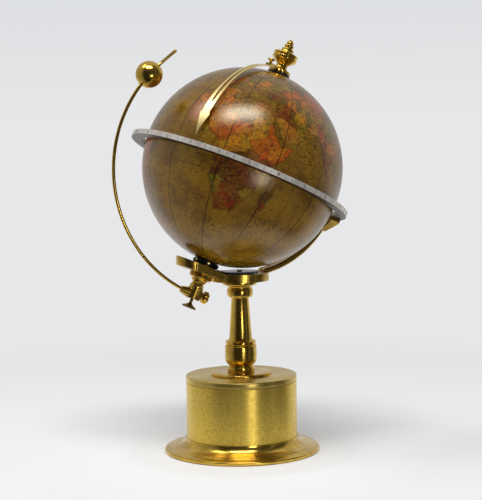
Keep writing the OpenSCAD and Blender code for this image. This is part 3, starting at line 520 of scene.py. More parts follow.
@dataclass(frozen=True)
class MapFinish:
    """The printed and varnished paper of the globe, coloured from the map attributes of its mesh."""

    sea: Colour = tint(126, 92, 16)
    sea_deep: Colour = tint(98, 66, 7)
    line: Colour = tint(48, 28, 6)
    print_tone: Colour = tint(30, 17, 4)
    provinces: tuple[Colour, ...] = (
        tint(120, 104, 22), tint(168, 88, 14), tint(150, 112, 26),
        tint(92, 52, 12), tint(150, 56, 12), tint(96, 92, 24),
    )

    def material(self) -> bpy.types.Material:
        """The paper's material.

        Returns:
            A varnished print that reads the attributes coast, border and tint.
        """
        recipe = Recipe("globe_paper_polar")
        where = recipe.place(POLAR_FRAME)
        x, y, z = recipe.split(where)
        longitude = recipe.math("ARCTAN2", y, x)
        latitude = recipe.math("ARCSINE", recipe.math("DIVIDE", z, GLOBE_R * MM))
        soft = recipe.noise(where, 14, 5, 0.6)
        colour = self.coloured(recipe, where, soft)
        colour = self.ruled(recipe, colour, longitude, latitude)
        colour = self.printed(recipe, colour, where, (longitude, latitude))
        grain = recipe.noise(where, 1.1, 5, 0.75)
        recipe.paint(colour, recipe.ease(grain, 0.35, 0.65, 0.16, 0.26))
        recipe.give(Specular_IOR_Level=0.8, Specular_Tint=(1.0, 0.86, 0.62, 1))
        recipe.relief(recipe.math("MULTIPLY_ADD", grain, 0.7, recipe.math("MULTIPLY", soft, 0.6)), 0.09)
        return recipe.material

    def coloured(self, recipe: Recipe, where: Socket, soft: Socket) -> Socket:
        """Sea and land in their tints, with ragged coasts and borders.

        Args:
            recipe: The material's recipe.
            where: The coordinates.
            soft: Wide, soft noise.

        Returns:
            The colour.
        """
        ragged = recipe.math("SUBTRACT", recipe.noise(where, 3.2, 5, 0.6), 0.5)
        coast = recipe.math("MULTIPLY_ADD", ragged, 3.6, recipe.attribute("coast", "Fac"))
        border = recipe.math("MULTIPLY_ADD", ragged, 2.6, recipe.attribute("border", "Fac"))
        hills = recipe.noise(where, 2.6, 5, 0.7)
        sea = recipe.blend(recipe.ease(soft, 0.35, 0.65), self.sea, self.sea_deep)
        land = recipe.blend(0.34, recipe.attribute("tint", "Color"), self.province(recipe, where))
        land = recipe.blend(recipe.ease(soft, 0.3, 0.7, 0.05, 0.4), land, self.sea_deep)
        land = recipe.blend(recipe.ease(hills, 0.5, 0.62, 0, 0.6), land, self.line)
        land = recipe.blend(recipe.ease(hills, 0.46, 0.34, 0, 0.5), land, self.sea)
        land = recipe.blend(recipe.ease(border, 0.8, 0.2, 0, 0.45), land, self.line)
        colour = recipe.blend(recipe.ease(coast, -0.5, 0.8), sea, land)
        shore = recipe.ease(recipe.math("ABSOLUTE", coast), 0.7, 0.1, 0, 0.5)
        return recipe.blend(shore, colour, self.line)

    def ruled(self, recipe: Recipe, colour: Socket, longitude: Socket, latitude: Socket) -> Socket:
        """The colour with the grid's lines and the seams between the paper's gores.

        Args:
            recipe: The material's recipe.
            colour: The colour under the lines.
            longitude: Radians east.
            latitude: Radians north.

        Returns:
            The colour.
        """
        level = recipe.math("COSINE", latitude)
        for angle, spacing, scale, width, share in (
            (longitude, (15.0, 0.4), level, 0.3, 0.4),
            (latitude, (15.0, 0.0), 1.0, 0.3, 0.4),
            (longitude, (30.0, 0.2), level, 0.45, 0.75),
        ):
            lines = self.grid_line(recipe, angle, spacing, scale, width, share)
            colour = recipe.blend(lines, colour, self.line)
        return colour

    def printed(self, recipe: Recipe, colour: Socket, where: Socket, angles: tuple[Socket, Socket]) -> Socket:
        """The colour with broken rows of small print, fine marks and brown foxing.

        Args:
            recipe: The material's recipe.
            colour: The colour under the print.
            where: The coordinates.
            angles: Longitude and latitude in radians.

        Returns:
            The colour.
        """
        for stretch, size, share in (((0.026, 0.07), 1.3, 0.85), ((0.04, 0.09), 1.0, 0.6)):
            marks = recipe.join(*(recipe.math("MULTIPLY", a, k) for a, k in zip(angles, stretch)), 0.0)
            words = recipe.ease(recipe.noise(marks, size, 3, 0.7), 0.54, 0.62, 0, share)
            places = recipe.ease(recipe.noise(where, 7 + 30 * size, 3, 0.6), 0.4, 0.58, 0.15, 1)
            colour = recipe.blend(recipe.math("MULTIPLY", words, places), colour, self.print_tone)
        fine = recipe.ease(recipe.noise(where, 1.2, 3, 0.75), 0.52, 0.66, 0, 0.55)
        colour = recipe.blend(fine, colour, self.print_tone)
        foxing = recipe.ease(recipe.noise(where, 6, 6, 0.75), 0.56, 0.75, 0, 0.6)
        return recipe.blend(foxing, colour, self.line)

    def province(self, recipe: Recipe, where: Socket) -> Socket:
        """Small patches of the provinces' tints.

        Args:
            recipe: The material's recipe.
            where: The coordinates.

        Returns:
            Their colour.
        """
        cells = recipe.add("TexVoronoi", feature="F1")
        cells.inputs["Scale"].default_value = 1 / (5.5 * MM)
        sway = recipe.add("VectorMath", operation="MULTIPLY_ADD")
        warp = recipe.add("TexNoise")
        recipe.feed(warp.inputs["Vector"], where)
        warp.inputs["Scale"].default_value = 1 / (4 * MM)
        recipe.feed(sway.inputs[0], warp.outputs["Color"])
        sway.inputs[1].default_value = (5 * MM, 5 * MM, 5 * MM)
        recipe.feed(sway.inputs[2], where)
        recipe.feed(cells.inputs["Vector"], sway.outputs[0])
        shade = recipe.add("SeparateColor")
        recipe.feed(shade.inputs[0], cells.outputs["Color"])
        stops = [(k / len(self.provinces), colour) for k, colour in enumerate(self.provinces)]
        return recipe.ramp(shade.outputs[0], stops, "CONSTANT")

    @staticmethod
    def grid_line(
        recipe: Recipe, angle: Socket, spacing: Point, scale: object, width: float, share: float
    ) -> Socket:
        """Thin lines at even steps of an angle.

        Args:
            recipe: The material's recipe.
            angle: The angle in radians.
            spacing: Degrees between lines, and the first line's shift as a share of that.
            scale: How much narrower a degree is here than at the equator.
            width: Half of a line's width in degrees of a great circle.
            share: How strongly a line shows.

        Returns:
            The lines' share.
        """
        turn, shift = spacing
        steps = recipe.math("DIVIDE", angle, math.radians(turn))
        off = recipe.math("SUBTRACT", recipe.math("FRACT", recipe.math("ADD", steps, 0.5 + shift)), 0.5)
        gap = recipe.math("MULTIPLY", recipe.math("MULTIPLY", recipe.math("ABSOLUTE", off), turn), scale)
        return recipe.ease(gap, width, width * 0.4, 0, share)


GLOBE_PAPER = MapFinish()


class Bench:
    """The modelling calls that several pieces share."""

    @staticmethod
    def clear() -> None:
        """Deselects every object."""
        bpy.ops.object.select_all(action="DESELECT")

    @staticmethod
    def hold(piece: bpy.types.Object) -> None:
        """Selects one object alone and makes it the active one.

        Args:
            piece: The object.
        """
        Bench.clear()
        piece.select_set(True)
        bpy.context.view_layer.objects.active = piece

    @staticmethod
    def enter() -> None:
        """Enters edit mode with everything selected."""
        bpy.ops.object.mode_set(mode="EDIT")
        bpy.ops.mesh.select_all(action="SELECT")

    @staticmethod
    def adopt(name: str) -> bpy.types.Object:
        """Names the new active object and its mesh.

        Args:
            name: The piece's name.

        Returns:
            The object.
        """
        piece = bpy.context.object
        piece.name = piece.data.name = name
        return piece

    @staticmethod
    def pick(piece: bpy.types.Object, domain: str, wanted: Callable[[np.ndarray], np.ndarray]) -> None:
        """Selects what lies where a test says, and enters edit mode.

        Args:
            piece: The mesh object, in object mode.
            domain: VERT or FACE.
            wanted: Says of places, given as columns x, y and z, which are selected.
        """
        mesh = piece.data
        for group in (mesh.vertices, mesh.edges, mesh.polygons):
            group.foreach_set("select", np.zeros(len(group), bool))
        group, key = (mesh.polygons, "center") if domain == "FACE" else (mesh.vertices, "co")
        group.foreach_set("select", wanted(Bench.places(group, key)))
        bpy.ops.object.mode_set(mode="EDIT")
        bpy.ops.mesh.select_mode(type=domain)

    @staticmethod
    def places(group: bpy.types.bpy_prop_collection, key: str) -> np.ndarray:
        """The places of all members of a mesh's collection, one row each.

        Args:
            group: Its vertices or faces.
            key: The property that holds a place.

        Returns:
            Columns x, y and z in metres.
        """
        values = np.zeros(len(group) * 3)
        group.foreach_get(key, values)
        return values.reshape(-1, 3)

    @staticmethod
    def leave() -> None:
        """Returns to object mode."""
        bpy.ops.object.mode_set(mode="OBJECT")

    @classmethod
    def lathe(cls, name: str, profile: Profile, steps: int = 128) -> bpy.types.Object:
        """Turns a profile about the upright axis into a closed solid.

        Args:
            name: The piece's name.
            profile: Radius and height of its corners in millimetres. It starts and ends on the
                axis, or is closed.
            steps: Faces round the axis.

        Returns:
            The new object.
        """
        cls.clear()
        bpy.ops.mesh.primitive_plane_add(size=0.01)
        piece = cls.adopt(name)
        cls.enter()
        bpy.ops.mesh.select_mode(type="VERT")
        bpy.ops.mesh.merge(type="CENTER")
        bpy.ops.transform.translate(value=(profile[0][0] * MM, 0, profile[0][1] * MM))
        for near, far in zip(profile, profile[1:]):
            step = ((far[0] - near[0]) * MM, 0, (far[1] - near[1]) * MM)
            bpy.ops.mesh.extrude_region_move(TRANSFORM_OT_translate={"value": step})
        cls.leave()
        if profile[0][0] > 0:
            ends = np.array([(r * MM, 0, z * MM) for r, z in (profile[0], profile[-1])])
            cls.pick(
                piece, "VERT", lambda at: np.linalg.norm(at[:, None] - ends, axis=2).min(axis=1) < 2 * WELD
            )
            bpy.ops.mesh.edge_face_add()
            cls.leave()
        cls.enter()
        bpy.ops.mesh.spin(steps=steps, angle=math.tau, center=(0, 0, 0), axis=(0, 0, 1))
        bpy.ops.mesh.select_all(action="SELECT")
        bpy.ops.mesh.remove_doubles(threshold=WELD)
        bpy.ops.mesh.normals_make_consistent(inside=False)
        cls.leave()
        return piece

    @staticmethod
    def ease_edges(piece: bpy.types.Object, width: float, angle: float = 24) -> None:
        """Rounds the sharp edges of a piece.

        Args:
            piece: The mesh object.
            width: The bevel's width in millimetres.
            angle: Edges sharper than this many degrees are rounded.
        """
        bevel = piece.modifiers.new("eased", "BEVEL")
        bevel.width, bevel.segments = width * MM, 2
        bevel.limit_method, bevel.angle_limit = "ANGLE", math.radians(angle)
        bpy.context.view_layer.objects.active = piece
        bpy.ops.object.modifier_apply(modifier=bevel.name)

    @classmethod
    def drill(cls, piece: bpy.types.Object, holes: Sequence[Hole]) -> None:
        """Cuts round upright holes.

        Args:
            piece: The mesh object.
            holes: For each hole x, y, radius, lowest and highest point in millimetres.
        """
        for x, y, radius, low, high in holes:
            cls.clear()
            place = (x * MM, y * MM, (low + high) / 2 * MM)
            bpy.ops.mesh.primitive_cylinder_add(
                vertices=40, radius=radius * MM, depth=(high - low) * MM, location=place
            )
            peg = bpy.context.object
            cut = piece.modifiers.new("hole", "BOOLEAN")
            cut.object, cut.operation, cut.solver = peg, "DIFFERENCE", "EXACT"
            bpy.context.view_layer.objects.active = piece
            bpy.ops.object.modifier_apply(modifier=cut.name)
            bpy.data.objects.remove(peg)

    @classmethod
    def finish(cls, piece: bpy.types.Object, place: Matrix, angle: float = 32) -> None:
        """Shades a piece and sets it in its place, with its object at the origin.

        Args:
            piece: The mesh object.
            place: Where its own frame stands.
            angle: Edges sharper than this many degrees stay sharp in the shading.
        """
        piece.data.transform(place)
        cls.hold(piece)
        bpy.ops.object.shade_smooth_by_angle(angle=math.radians(angle))


def smooth(points: Profile, parts: int = 6) -> Profile:
    """A smooth curve through points.

    Args:
        points: At least two points.
        parts: Steps between neighbours.

    Returns:
        The points with the new ones between them.
    """
    ends = [points[0], *points, points[-1]]
    curve = []
    for before, start, end, after in zip(ends, ends[1:], ends[2:], ends[3:]):
        for t in (k / parts for k in range(parts)):
            curve.append(tuple(
                b + 0.5 * ((c - a) * t + (2 * a - 5 * b + 4 * c - d) * t**2 + (3 * b - a - 3 * c + d) * t**3)
                for a, b, c, d in zip(before, start, end, after)
            ))
    return [*curve, points[-1]]


@dataclass
class TurnedPiece:
    """A piece from the lathe that stands for a CAD node."""

    node: str
    body: Body
    slot: str
    finish: MetalFinish
    profile: Profile
    axis: Axis = Axis.UPRIGHT
    edge: float = 0.15
    holes: Sequence[Hole] = ()
    place: Matrix | None = None
    steps: int = 128

    def build(self) -> bpy.types.Object:
        """Turns, eases and drills the piece and puts it in the node's place.

        Returns:
            The finished piece.
        """
        piece = Bench.lathe("turned_" + self.node, self.profile, self.steps)
        Bench.ease_edges(piece, self.edge)
        Bench.drill(piece, self.holes)
        Bench.finish(piece, self.place or self.axis.place)
        piece.data.materials.append(self.finish.material(self.axis))
        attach(piece, self.body.value)
        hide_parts(self.node)
        return piece


@dataclass
class Base:
    """The spreading foot and the drum's lid."""

    foot_r: float = 49.2
    foot_bore: float = 29.0
    flare_out: float = 42.6
    flare_in: float = 35.7
    flare_low: float = 4.1
    foot_h: float = 9.6
    cover_r: float = 34.35
    cover_z: float = 8.2
    screw_ring: float = 31.65
    lid_low: float = 44.4
    lid_top: float = 48.5
    lid_r: float = 35.2
    lid_t: float = 2.2
    spigot_r: float = 33.48
    spigot_in: float = 31.5
    bore: float = 6.02

    def foot_profile(self) -> Profile:
        """Corners of the foot with its cove.

        Returns:
            Radius and height of each, in millimetres.
        """
        r, out = self.foot_r, self.flare_out
        wide, high = out - self.flare_in, self.foot_h - self.flare_low
        cove = [
            (out - wide * math.sin(a), self.foot_h - high * math.cos(a))
            for a in map(math.radians, range(0, 91, 5))
        ]
        return [
            (self.foot_bore, 0), (r - 0.8, 0), (r, 0.8), (r, 1.8), (r - 0.3, 2.3), (r - 0.9, 2.6),
            (out + 1.4, 3.2), (out + 0.7, 3.4), (out + 0.6, 3.9), *cove,
            (self.cover_r, self.foot_h), (self.cover_r, self.cover_z), (self.foot_bore, self.cover_z),
        ]

    def foot_holes(self) -> list[Hole]:
        """The three holes of the cover screws, each with its counterbore.

        Returns:
            The holes, as Bench.drill takes them.
        """
        holes = []
        for turn in (60, 180, 300):
            x, y = (self.screw_ring * f(math.radians(turn)) for f in (math.cos, math.sin))
            holes += [(x, y, 1.22, 3, 11), (x, y, 2.04, -1, 5.4)]
        return holes

    def lid_profile(self) -> Profile:
        """Corners of the lid with its spigot and the groove under its rim.

        Returns:
            Radius and height of each, in millimetres.
        """
        low, top, r = self.lid_low, self.lid_top, self.lid_r
        return [
            (self.bore, top - self.lid_t), (self.spigot_in, top - self.lid_t), (self.spigot_in, low - 2),
            (self.spigot_r, low - 2), (self.spigot_r, low), (r - 0.5, low), (r - 0.5, low + 0.35),
            (r, low + 0.5), (r, top - 0.5), (r - 0.15, top - 0.15), (r - 0.5, top), (self.bore, top),
        ]

    def build(self) -> list[bpy.types.Object]:
        """Builds and dresses the foot and the lid.

        Returns:
            The new pieces.
        """
        foot = TurnedPiece(
            "base_foot", Body.STAND, "polished_brass", POLISHED_BRASS, self.foot_profile(),
            edge=0.12, holes=self.foot_holes(),
        )
        lid = TurnedPiece("drum_lid", Body.STAND, "satin_brass", SATIN_BRASS, self.lid_profile(), edge=0.08)
        return [foot.build(), lid.build()]


@dataclass
class Column:
    """The plinth and the turned column."""

    low: float = 48.5
    plinth_r: float = 19.0
    plinth_top: float = 50.5
    top: float = 108.5
    tenon_r: float = 6.0
    tenon_low: float = 42.85
    bore: float = 2.3
    bush_r: float = 3.42
    bush_low: float = 105.5
    bulb_r: float = 10.15
    rim_r: float = 11.2
    head_r: float = 5.0
    head_top: float = 110.5

    def plinth_profile(self) -> Profile:
        """Corners of the thin disc under the column.

        Returns:
            Radius and height of each, in millimetres.
        """
        r, top = self.plinth_r, self.plinth_top
        return [
            (self.tenon_r + 0.02, self.low), (r, self.low), (r, top - 0.9), (r - 0.25, top - 0.45),
            (r - 0.7, top - 0.12), (r - 1.4, top), (self.tenon_r + 0.02, top),
        ]

    def column_profile(self) -> Profile:
        """Corners of the column from its lower tenon to its upper one, and back down the bore.

        Returns:
            Radius and height of each, in millimetres.
        """
        foot, b = self.plinth_top, self.bulb_r
        bulb = smooth([
            (b - 1.4, 55.8), (b - 0.5, 57), (b - 0.08, 58.6), (b, 62.5), (b - 0.08, 66.2), (b - 0.4, 67.2),
            (b - 1.1, 67.6),
        ], 3)
        bead = smooth([
            (b - 1.1, 67.6), (b - 0.55, 68.1), (b - 0.5, 69.2), (b - 0.6, 69.9), (b - 1.6, 70.5),
        ], 3)
        cup = smooth([
            (6.6, 97.7), (7.6, 98.3), (8.1, 99.5), (8.25, 101.2), (8.1, 102.7), (7.7, 103.6), (7.6, 104.4),
            (8.2, 105.1), (9.6, 105.6), (10.7, 106), (11.1, 106.5), (self.rim_r, 107.2),
        ], 3)
        low, seat, head = self.tenon_low, self.bush_low, self.head_top
        return [
            (self.bore, low), (self.tenon_r, low), (self.tenon_r, foot), (8.6, foot), (8.6, foot + 3),
            (7.6, foot + 3.5), (7.6, 54.4), *bulb, *bead[1:], (7.6, 70.6), (7.2, 72.2), (5.55, 97.4), *cup,
            (self.rim_r, self.top), (self.head_r, self.top), (self.head_r, head), (self.bush_r, head),
            (self.bush_r, seat), (self.bore, seat),
        ]

    def build(self) -> list[bpy.types.Object]:
        """Builds and dresses the plinth and the column.

        Returns:
            The new pieces.
        """
        return [
            TurnedPiece(node, Body.STAND, "polished_brass", POLISHED_BRASS, profile, edge=edge).build()
            for node, profile, edge in (
                ("column_plinth", self.plinth_profile(), 0.08), ("column", self.column_profile(), 0.12),
            )
        ]


@dataclass
class NorthEnd:
    """The finial and the pointer's mushroom screw."""

    finial_z: float = 68.22
    bore: float = 1.52
    bore_top: float = 72.3
    strip_out: float = 66.4
    screw_reach: float = 14.0
    pointer_turn: float = 217.0
    strip_t: float = 0.8

    def finial_profile(self) -> Profile:
        """Corners of the finial, from the end of its bore to its tip.

        Returns:
            Radius and height of each, in millimetres.
        """
        lower = smooth([(3.8, 0), (3.62, 1.3), (3.9, 2.5), (5.5, 3.9), (7.3, 5.4), (7.85, 6.1)], 4)
        neck = smooth([(6.5, 10.1), (4.6, 10.6), (4, 11.4), (4, 12.7)], 3)
        bead = smooth([(2.4, 13.5), (2.9, 14.2), (3, 14.9), (2.85, 15.5), (1.9, 16)], 3)
        point = smooth([(1.95, 16.1), (2.35, 16.8), (2, 17.7), (0.9, 18.9), (0.3, 19.4)], 4)
        shape = [
            *lower, (7.9, 6.4), (7.9, 7.2), (7.35, 7.5), (7.35, 8.1), (7.9, 8.4), (7.9, 9.3), (7.6, 9.7),
            *neck, (2.6, 13.2), *bead, *point, (0, 19.5),
        ]
        top, z = self.bore_top, self.finial_z
        return [(0, top), (self.bore, top), (self.bore, z), *((r, h + z) for r, h in shape)]

    def screw_profile(self) -> Profile:
        """Corners of the mushroom screw, from the end of its shank to its head.

        Returns:
            Radius and height of each, in millimetres.
        """
        head = smooth([
            (1.1, 2.9), (1.9, 3.15), (2.4, 3.45), (2.5, 3.75), (2.3, 4.15), (1.4, 4.55), (0.5, 4.7),
        ], 3)
        t = self.strip_t
        return [(0, -t), (0.9, -t), (0.9, 1.35), (1.3, 1.35), (1, 2.2), *head, (0, 4.7)]

    def screw_place(self) -> Matrix:
        """Where the mushroom screw stands on the pointer.

        Returns:
            The frame of its axis.
        """
        lean = math.asin(self.screw_reach / self.strip_out)
        turn = Matrix.Rotation(math.radians(self.pointer_turn), 4, "Z") @ Matrix.Rotation(lean, 4, "Y")
        return POLAR_FRAME @ turn @ Matrix.Translation((0, 0, self.strip_out * MM))

    def build(self) -> list[bpy.types.Object]:
        """Builds and dresses the finial and the screw.

        Returns:
            The new pieces.
        """
        screw = TurnedPiece(
            "pointer_screw", Body.POINTER_SCREW, "polished_brass", POLISHED_BRASS, self.screw_profile(),
            Axis.POLAR, edge=0.06, place=self.screw_place(), steps=48,
        )
        finial = TurnedPiece(
            "finial", Body.FINIAL, "polished_brass", POLISHED_BRASS, self.finial_profile(), Axis.POLAR,
            edge=0.1,
        )
        return [screw.build(), finial.build()]


@dataclass
class SouthEnd:
    """The disc-headed thumb screw at the lowest end of the polar axis."""

    block_low: float = 88.2
    shank_top: float = 73.0
    head_low: float = 94.2

    def build(self) -> list[bpy.types.Object]:
        """Builds and dresses the thumb screw.

        Returns:
            The new piece.
        """
        low = self.block_low
        neck = smooth([(1, low + 2.6), (1.6, low + 3.3), (2.9, low + 4.2), (4.2, low + 4.75)], 3)
        rim = [(4.5, low + 5), (4.5, self.head_low - 0.3), (4.2, self.head_low), (0, self.head_low)]
        shape = [(0, self.shank_top), (1.2, self.shank_top), (1.2, low), (1, low + 0.1), *neck, *rim]
        screw = TurnedPiece(
            "thumb_screw", Body.THUMB_SCREW, "dark_brass", DARK_BRASS, [(r, -z) for r, z in shape],
            Axis.POLAR, edge=0.08,
        )
        return [screw.build()]


class Land(Enum):
    """Tints of the map's countries."""

    ORANGE = tint(196, 104, 14)
    RUST = tint(182, 70, 6)
    CRIMSON = tint(112, 12, 2)
    UMBER = tint(80, 30, 3)
    OCHRE = tint(184, 124, 20)
    OLIVE = tint(128, 102, 14)
    MOSS = tint(98, 90, 16)
    ROSE = tint(140, 66, 34)
    SAND = tint(158, 106, 24)
    CREAM = tint(140, 112, 8)


@dataclass
class GlobeMap:
    """The lands of the globe by longitude and latitude, in whole degrees, and their countries' tints."""

    COASTS = (
        "-6 36 0 36 10 37 11 34 15 32 20 31 23 33 30 31 33 31 34 28 37 21 39 16 43 12 51 12 48 5 42 -2 "
        "39 -7 40 -15 35 -22 33 -27 29 -33 20 -35 18 -32 14 -22 12 -16 13 -8 9 -1 9 4 4 6 -4 5 -8 4 "
        "-13 8 -17 14 -16 21 -13 27 -9 31",
        "-6 36 -9 38 -9 43 -2 43 -1 46 -4 48 2 51 8 54 8 57 11 57 10 54 14 54 21 55 24 59 30 60 25 61 "
        "22 61 22 64 25 66 18 62 17 58 13 56 11 59 5 59 5 62 14 67 25 71 40 68 40 65 34 67 45 67 60 69 "
        "68 72 80 73 100 77 113 74 130 71 150 71 170 69 180 68 190 66 180 63 170 60 162 57 157 51 155 59 "
        "143 59 135 54 140 49 131 43 129 41 129 36 126 35 125 39 118 39 122 37 121 31 116 23 109 21 "
        "107 17 109 12 105 9 101 13 103 2 99 9 98 16 92 22 87 21 80 15 80 10 77 8 73 17 72 21 67 25 "
        "57 26 54 27 50 30 48 30 52 25 56 26 59 22 52 16 44 13 42 17 35 28 35 31 36 36 30 36 27 37 27 40 "
        "36 42 41 41 38 45 34 45 31 46 28 43 26 40 23 40 24 38 22 37 19 41 13 45 12 44 16 41 18 40 16 38 "
        "12 42 9 44 3 43 0 40 -2 37",
        "49 37 54 37 53 41 52 45 48 46 49 42",
        "-168 66 -156 71 -140 70 -125 70 -110 68 -95 68 -94 72 -82 69 -86 66 -94 60 -92 57 -82 55 -80 52 "
        "-79 55 -77 62 -70 60 -65 59 -60 55 -56 52 -65 49 -60 46 -66 44 -70 43 -74 40 -76 35 -81 31 "
        "-80 26 -83 29 -90 29 -97 27 -97 21 -91 18 -87 21 -88 16 -83 15 -83 10 -78 9 -81 7 -86 11 -94 16 "
        "-105 20 -106 24 -113 31 -109 23 -112 26 -117 33 -121 35 -124 40 -124 47 -132 55 -140 60 -150 60 "
        "-158 56 -162 59 -165 62",
        "-77 8 -72 12 -62 10 -52 5 -50 0 -44 -3 -35 -6 -39 -13 -41 -22 -48 -26 -53 -33 -58 -35 -62 -39 "
        "-65 -43 -66 -47 -69 -51 -66 -55 -72 -53 -75 -47 -73 -38 -71 -30 -70 -18 -76 -14 -81 -6 -80 -2 "
        "-77 3",
        "-45 60 -52 64 -54 70 -68 76 -60 82 -30 83 -18 79 -22 72 -32 68 -40 65",
        "114 -22 114 -34 118 -35 124 -33 131 -31 135 -34 140 -38 147 -38 150 -37 153 -31 153 -26 149 -21 "
        "146 -19 145 -15 142 -11 140 -17 136 -15 136 -12 131 -11 129 -15 122 -18",
        "131 -1 135 -3 141 -2 147 -6 150 -10 143 -9 138 -8 133 -4",
        "44 -25 43 -18 49 -12 50 -16 47 -25",
        "-5 50 1 51 2 53 -2 56 -2 58 -5 58 -5 55 -3 53 -5 52",
        "-10 52 -6 52 -6 55 -9 54",
        "-24 65 -18 63 -14 65 -17 66 -22 66",
        "130 31 136 34 141 36 141 41 145 43 142 45 140 41 137 37 131 34",
        "95 5 104 -2 106 -6 101 -3",
        "105 -6 114 -7 114 -8 106 -8",
        "109 1 113 3 117 7 118 1 116 -4 110 -3",
        "120 18 122 17 124 12 126 7 122 7 121 13",
        "119 0 125 1 121 -1 123 -5 119 -5",
        "173 -35 178 -38 175 -41 168 -46 167 -45 173 -40",
        "80 9 82 7 80 6",
        "-85 22 -75 20 -79 23",
        "-64 63 -66 68 -78 73 -88 73 -78 68 -72 64",
        "52 71 56 71 68 77 60 76",
        "12 78 18 76 25 80 12 80",
        "143 46 143 50 142 54 142 50",
        "145 -41 148 -41 147 -43",
    )
    POLAR_EDGE = (
        (-180, -78), (-150, -76), (-120, -74), (-100, -72), (-75, -73), (-60, -64), (-62, -74), (-35, -78),
        (-10, -71), (30, -69), (60, -67), (90, -66), (120, -66), (150, -68), (170, -72), (180, -78),
    )
    COUNTRIES = {
        Land.ORANGE: (
            "-4 20 5 29 12 14 18 12 0 14 41 8 78 22 134 -25 -52 -10 -100 24 100 60 47 44 -110 55 20 48"
        ),
        Land.RUST: "35 2 33 9 46 5 38 12 45 46 8 9 105 35 115 -3 -70 -35 -80 62 68 48 -3 40 15 13",
        Land.CRIMSON: (
            "22 -32 25 -24 29 -16 20 -26 26 -9 33 -12 102 16 -66 8 -2 52 76 12 140 -5 -150 64 31 -27"
        ),
        Land.UMBER: "16 -11 35 -8 39 -2 24 -3 46 31 -75 -8 60 60 90 48 34 39 20 20 47 -19",
        Land.OCHRE: "17 4 22 0 8 61 12 43 55 33 -100 40 122 -25 -60 -30 136 62 138 37 26 63 -10 31 28 14",
        Land.OLIVE: "35 -21 30 53 -5 8 85 36 -85 35 145 -28 -62 -2 80 66 25 44 56 22",
        Land.MOSS: "14 -20 13 51 22 53 100 45 -95 48 -70 -20 125 55 -120 50 30 60 62 33",
        Land.ROSE: "33 -2 36 -5 -9 53 78 20 -40 72 110 -1 160 66 -125 62 74 28 2 47 -8 13",
        Land.SAND: "46 24 52 20 65 38 112 28 -55 -20 120 68 -72 50 172 -42 65 30 27 27 14 28",
        Land.CREAM: "0 -80 90 -75 180 -80 -90 -80 -75 -45 50 -66",
    }
    PRIME_AZIMUTH = 219.0
    FAR = 30.0

    @staticmethod
    def pairs(text: str) -> np.ndarray:
        """Longitude and latitude pairs from a line of numbers."""
        return np.array(text.split(), float).reshape(-1, 2)

    @staticmethod
    def on_sphere(places: np.ndarray) -> np.ndarray:
        """Unit vectors of longitude and latitude pairs in degrees."""
        lon, lat = np.radians(places.T)
        return np.stack([np.cos(lat) * np.cos(lon), np.cos(lat) * np.sin(lon), np.sin(lat)], 1)

    def coast_distance(self, places: np.ndarray, units: np.ndarray) -> np.ndarray:
        """Degrees from each place to the nearest coast, positive on land.

        Args:
            places: Longitude and latitude pairs.
            units: The same as unit vectors.

        Returns:
            One signed distance for each place.
        """
        nearest = np.full(len(places), self.FAR)
        inside = np.zeros(len(places), bool)
        for text in self.COASTS:
            corners = self.pairs(text)
            ends = self.on_sphere(corners)
            for k in range(len(corners)):
                start, side = ends[k], ends[(k + 1) % len(ends)] - ends[k]
                along = np.clip((units - start) @ side / (side @ side), 0, 1)
                gap = np.linalg.norm(units - start - along[:, None] * side, axis=1)
                nearest = np.minimum(nearest, np.degrees(gap))
                (x1, y1), (x2, y2) = corners[k], corners[(k + 1) % len(corners)]
                if y1 == y2:
                    continue
                spans = (places[:, 1] > y1) != (places[:, 1] > y2)
                cross = x1 + (places[:, 1] - y1) * (x2 - x1) / (y2 - y1)
                for lap in (0, 360):
                    inside ^= spans & (places[:, 0] + lap < cross) & (places[:, 0] + lap > cross - 360)
        signed = np.where(inside, nearest, -nearest)
        edge = np.interp(places[:, 0], *np.array(self.POLAR_EDGE, float).T)
        return np.where(edge - places[:, 1] > -self.FAR, np.maximum(signed, edge - places[:, 1]), signed)

    def countries(self, units: np.ndarray) -> tuple[np.ndarray, np.ndarray]:
        """Country tint of each place and its distance to a border.

        Args:
            units: The places as unit vectors.

        Returns:
            Colours, and distances in degrees.
        """
        tones, seeds = [], []
        for land, text in self.COUNTRIES.items():
            spots = self.pairs(text)
            tones += [land.value] * len(spots)
            seeds.append(self.on_sphere(spots))
        gaps = np.degrees(np.arccos(np.clip(units @ np.concatenate(seeds).T, -1, 1)))
        order = np.argpartition(gaps, 1, axis=1)[:, :2]
        near = np.take_along_axis(gaps, order, 1)
        return np.array(tones)[order[:, 0]], near[:, 1] - near[:, 0]

    def paint(self, mesh: bpy.types.Mesh) -> None:
        """Writes coast, border and tint on a mesh that stands in the polar frame.

        Args:
            mesh: The mesh, centred on the globe.
        """
        at = Bench.places(mesh.vertices, "co")
        units = at / np.linalg.norm(at, axis=1)[:, None]
        lon = np.degrees(np.arctan2(units[:, 1], units[:, 0])) - self.PRIME_AZIMUTH
        places = np.stack([(lon + 180) % 360 - 180, np.degrees(np.arcsin(np.clip(units[:, 2], -1, 1)))], 1)
        wave = np.radians(places)
        sway = np.stack([
            1.3 * np.sin(9 * wave[:, 1] + 3) + 0.7 * np.sin(23 * wave[:, 1] + 11 * wave[:, 0]),
            1.1 * np.sin(10 * wave[:, 0]) + 0.6 * np.cos(27 * wave[:, 0] - 8 * wave[:, 1]),
        ], 1)
        places_swayed = places + sway * (0.6, 0.5)
        coast = self.coast_distance(places_swayed, self.on_sphere(places_swayed))
        tones, border = self.countries(self.on_sphere(places + 1.5 * sway))
        for name, values in (("coast", coast), ("border", border)):
            mesh.attributes.new(name, "FLOAT", "POINT").data.foreach_set("value", values)
        colours = np.concatenate([tones, np.ones((len(tones), 1))], 1)
        mesh.attributes.new("tint", "FLOAT_COLOR", "POINT").data.foreach_set("color", colours.ravel())


